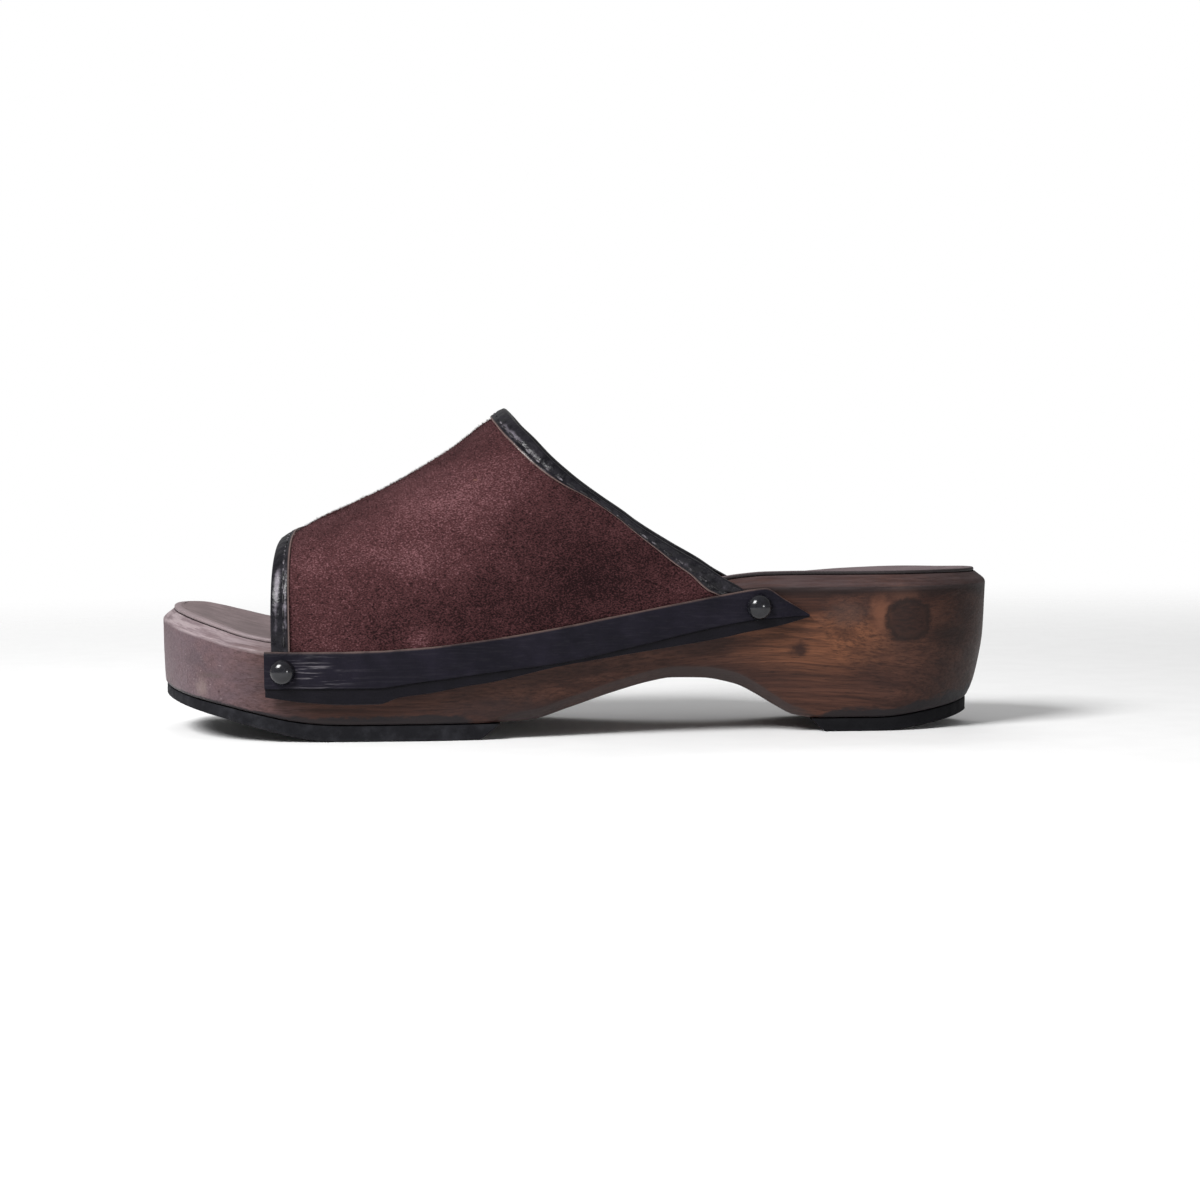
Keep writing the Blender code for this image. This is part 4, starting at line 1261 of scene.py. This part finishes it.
def make_nap(outer, normal):
    """Short fibres over the suede, which soften its outline."""
    sheet = (outer - normal * 0.15)[20:-20, 4:-4]
    rows, columns = sheet.shape[:2]
    mesh = bpy.data.meshes.new("nap_ground")
    mesh.from_pydata((sheet.reshape(-1, 3) * MM).tolist(), [], grid_faces(rows, columns).tolist())
    ground = bpy.data.objects.new("nap_ground", mesh)
    bpy.context.scene.collection.objects.link(ground)
    made = grown_mesh(ground, fibre_tree(), {"Fibre": NAP})
    bpy.data.objects.remove(ground, do_unlink=True)
    piece = bpy.data.objects.new("suede_nap", made)
    bpy.context.scene.collection.objects.link(piece)
    settle(piece)


# Side strips

def strip_out(s):
    lift = 1 - smooth((s - STRIP_UNDERLAY_END_S) / (STRIP_TIP_S - STRIP_UNDERLAY_END_S))
    return GAP + VAMP_OUT * lift


def strip_relief(s, z, side):
    """The dents and creases of a strip's outer face: pulled leather round the studs, and lengthwise folds."""
    relief = np.zeros(np.shape(s))
    for spot in STUDS.values():
        stud_z = spot["z"] - float(drop_of(np.float64(spot["s"]), side))
        off_s, off_z = s - spot["s"], z - stud_z
        distance = np.hypot(off_s, off_z)
        relief -= 0.38 * bell(distance, 4.6)
        angle = np.arctan2(off_z, off_s)
        fan = np.cos(angle * 13) * bell(distance - 9.0, 4.0) * np.clip(np.cos(angle), 0, 1)
        relief += 0.13 * fan
    waves = np.sin(z * 2.3 + 0.9 * np.sin(s * 0.11)) * 0.05 * smooth((s - 60) / 40)
    return relief + waves


def make_strip(side):
    s = np.linspace(STRIP_START_S, STRIP_TIP_S, 420)
    top, crease, foot = (STRIP[column](s) - drop_of(s, side) for column in ("top", "crease", "foot"))
    thin = 1 - STRIP_TIP_THINNING * smooth((s - STRIP_UNDERLAY_END_S) / (STRIP_TIP_S - STRIP_UNDERLAY_END_S))
    face = strip_out(s)
    band, lip = LEATHER * thin, STRIP_LIP_LEATHER * thin
    along, across = outline_normal(s, side)
    wobble = 0.16 * soft_noise(points_of(s, 0, 0), 9.0, 9 if side == "outer" else 10)
    rings, raw, rub, fold = [], [], [], []

    def ring(out, z, raw_edge=0.0, rubbed=0.0, painted_shade=0.0):
        rings.append(points_of(s + along * out, outline_y(s, side) + across * out, z))
        raw.append(raw_edge + 0 * s)
        rub.append(rubbed + 0 * s)
        fold.append(painted_shade + 0 * s)

    ring(face, foot + 0.15)
    ring(face, top - 0.15)
    ring(face + band * 0.4, top + wobble * 0.5, 0.9)
    ring(face + band * 0.82, top - 0.02 + wobble * 0.5, 0.7)
    for share in np.linspace(0.02, 0.985, 24):
        z = top + (crease - top) * share
        edge_round = 0.30 * bell(share * 11 / 1.6, 0.35) + 0.22 * bell((1 - share) * 11 / 1.2, 0.4)
        rubbed = 0.85 * bell(s - 55.5, 7.5) * bell(z - 21.3 + drop_of(s, side), 4.5) + 0.03
        top_edge = 0.5 if share < 0.03 else 0.0
        relief = strip_relief(s, z, side) * np.clip(12 * share, 0, 1)
        ring(face + band - edge_round + relief, z, top_edge, rubbed)
    # The crease and the lip below it carry the fold mark: painted shade under the thick band.
    ring(face + band * 0.86, crease + 0.05, 0.0, 0.0, 1.0)
    ring(face + lip + 0.02, crease - 0.22 * thin, 0.0, 0.0, 1.0)
    for share in (0.12, 0.4, 0.7, 0.92):
        z = (crease - 0.3 * thin) + (foot - crease + 0.3 * thin) * share
        ring(face + lip + 0.05 * np.sin(s * 0.7) * share, z, 0.0, 0.02, 0.75)
    ring(face + lip * 0.6, foot + 0.02, 0.2)
    grid = np.stack(rings, 1)
    rows, columns = grid.shape[:2]
    faces = band_faces(rows, columns, (columns - 1) // 2)
    marks = {key: np.stack(values, 1).ravel() for key, values in (("raw", raw), ("rub", rub), ("fold", fold))}
    make_piece(f"rand_{side}", grid.reshape(-1, 3), faces, STRIP_LEATHER,
               ["side_strip_" + side], marks, 50)


# Studs

def make_stud(side, spot):
    s = np.float64(STUDS[spot]["s"])
    z = STUDS[spot]["z"] - float(drop_of(s, side))
    out = float(strip_out(s)) + LEATHER + 0.05
    along, across = outline_normal(s, side)
    seat = Vector(points_of(s + along * out, outline_y(s, side) + across * out, z).tolist())
    radius, foot_z, collar_z, dome = STUD_DIAMETER / 2, -0.35, 0.45, STUD_HEIGHT - 0.2
    collar = ((0.55, foot_z), (0.93, -0.2), (0.99, 0.0), (1.0, 0.18), (0.985, 0.38))
    profile = [(radius * share, height) for share, height in collar]
    profile += [
        (radius * 0.97 * math.cos(angle) ** 0.92, collar_z + dome * math.sin(angle))
        for angle in np.linspace(0.06, math.pi / 2 - 0.05, 16)
    ]
    sides = 48
    turn = np.linspace(0, 2 * np.pi, sides, endpoint=False)
    grid = np.array([[(r * np.cos(a), r * np.sin(a), h) for a in turn] for r, h in profile])
    points = grid.reshape(-1, 3)
    points = np.vstack([points, [(0, 0, foot_z)], [(0, 0, collar_z + dome)]])
    rows = len(profile)
    foot, tip = rows * sides, rows * sides + 1
    k = np.arange(sides)
    after = (k + 1) % sides
    last = (rows - 1) * sides
    faces = [
        grid_faces(rows, sides, closed=True),
        np.stack([after, k, np.full(sides, foot), np.full(sides, foot)], -1),
        np.stack([last + k, last + after, np.full(sides, tip), np.full(sides, tip)], -1),
    ]
    turned = Vector((float(along), float(across), 0)).normalized().to_track_quat("Z", "Y").to_matrix()
    points = points @ np.array(turned).T + np.array(seat)
    make_piece(f"dome_stud_{side}_{spot}", points, np.concatenate(faces), STUD,
               [f"stud_{side}_{spot}"], None, 60)


# Stage

ROOM_LIGHT = 0.27
CAMERA_DISTANCE = 800.0
CAMERA_TARGET = (-78.4, -46.0, 42.3)
CAMERA_ELEVATION = math.radians(3.2)
CAMERA_ROLL = math.radians(0.6)
LENS_PIXELS = 2668.0
PHOTO_PIXELS = 1200.0
SENSOR = 36.0
FLOOR_REACH = 12.0
LIGHTS_AIM = (-0.09, 0.0, 0.04)


def make_camera():
    view = Vector((0, math.cos(CAMERA_ELEVATION), -math.sin(CAMERA_ELEVATION)))
    right = Vector((1, 0, 0))
    up = right.cross(view)
    rolled_right = right * math.cos(CAMERA_ROLL) - up * math.sin(CAMERA_ROLL)
    rolled_up = up * math.cos(CAMERA_ROLL) + right * math.sin(CAMERA_ROLL)
    data = bpy.data.cameras.new("camera")
    data.sensor_width = SENSOR
    data.lens = SENSOR * LENS_PIXELS / PHOTO_PIXELS
    data.clip_start, data.clip_end = 0.01, 60.0
    camera = bpy.data.objects.new("camera", data)
    bpy.context.scene.collection.objects.link(camera)
    place = Matrix((rolled_right, rolled_up, -view)).transposed().to_4x4()
    place.translation = (Vector(CAMERA_TARGET) - view * CAMERA_DISTANCE) * MM
    camera.matrix_world = place
    bpy.context.scene.camera = camera


def floor_material():
    """Pale and even near the shoe, and fading into the backdrop's white far away."""
    material, n = new_material("Pale floor")
    place = n.place()
    far = n.spot(place, (0, 0, 0), (1, 1, 1))
    speck = n.noise(place, 60.0, 3.0)
    colour = n.mix(n.ramp(speck, 0.3, 0.7), (0.88, 0.88, 0.88), (0.90, 0.90, 0.90))
    n.surface(colour, 0.9, Specular_IOR_Level=0.1)
    clear = n.add("ShaderNodeBsdfTransparent")
    blend = n.add("ShaderNodeMixShader")
    n.put(blend.inputs[0], n.ramp(far, 0.22, 0.9))
    n.tree.links.new(n.shader.outputs[0], blend.inputs[1])
    n.tree.links.new(clear.outputs[0], blend.inputs[2])
    output = next(node for node in n.tree.nodes if node.type == "OUTPUT_MATERIAL")
    n.tree.links.new(blend.outputs[0], output.inputs["Surface"])
    return material


def make_floor():
    mesh = bpy.data.meshes.new("floor")
    corners = [(x * FLOOR_REACH, y * FLOOR_REACH, 0) for x, y in ((-1, -1), (1, -1), (1, 1), (-1, 1))]
    mesh.from_pydata(corners, [], [(0, 1, 2, 3)])
    mesh.materials.append(floor_material())
    floor = bpy.data.objects.new("floor", mesh)
    bpy.context.scene.collection.objects.link(floor)


def make_light(name, place, size, power):
    data = bpy.data.lights.new(name, "AREA")
    data.shape = "RECTANGLE"
    data.size, data.size_y = size
    data.energy = power
    light = bpy.data.objects.new(name, data)
    bpy.context.scene.collection.objects.link(light)
    light.location = place
    light.rotation_mode = "QUATERNION"
    light.rotation_quaternion = (Vector(LIGHTS_AIM) - Vector(place)).to_track_quat("-Z", "Y")
    return light


def make_lights():
    world = bpy.data.worlds.new("studio")
    world.use_nodes = True
    tree = world.node_tree
    room = tree.nodes["Background"]
    room.inputs["Strength"].default_value = ROOM_LIGHT
    backdrop = tree.nodes.new("ShaderNodeBackground")
    for background in (room, backdrop):
        background.inputs["Color"].default_value = (1, 1, 1, 1)
    seen = tree.nodes.new("ShaderNodeLightPath")
    either = tree.nodes.new("ShaderNodeMixShader")
    tree.links.new(seen.outputs["Is Camera Ray"], either.inputs[0])
    tree.links.new(room.outputs[0], either.inputs[1])
    tree.links.new(backdrop.outputs[0], either.inputs[2])
    tree.links.new(either.outputs[0], tree.nodes["World Output"].inputs["Surface"])
    bpy.context.scene.world = world
    make_light("key", (-0.62, -0.58, 0.72), (0.42, 0.42), 14.0)
    make_light("spark", (0.55, -1.1, 0.16), (0.16, 0.16), 1.8)
    back = make_light("back", (-0.1, 0.9, 0.9), (0.9, 0.5), 4.5)
    back.visible_glossy = False
    bpy.context.scene.view_settings.view_transform = "Standard"


WOOD = wood_material()
INSOLE = insole_material()
RUBBER = rubber_material()
SUEDE = suede_material()
BINDING = binding_material()
STRIP_LEATHER = strip_material()
STUD = stud_material()
THREAD = thread_material()
NAP = nap_material()
STITCH_TREE = stitch_tree()

make_wood()
make_insole()
make_rubber("tread_forefoot", "forefoot_rubber", FOREFOOT_END_S, FOREFOOT_END_SLANT, True, 3)
make_rubber("tread_heel", "heel_rubber", HEEL_FRONT_S, HEEL_FRONT_SLANT, False, 4)
vamp_face, vamp_normals = make_vamp()
make_nap(vamp_face, vamp_normals)
make_binding("binding_toe", "toe_binding", front_s, 1, TOE_BINDING_END, toe_reach, 300, TOE_RUBS_AND_HIGHLIGHTS)
make_binding("binding_instep", "instep_binding", rear_s, -1, INSTEP_BINDING_END, INSTEP_BINDING["reach"], 520,
             INSTEP_RUBS)
for side_name in SIDES:
    make_strip(side_name)
    for spot_name in STUDS:
        make_stud(side_name, spot_name)
make_camera()
make_floor()
make_lights()
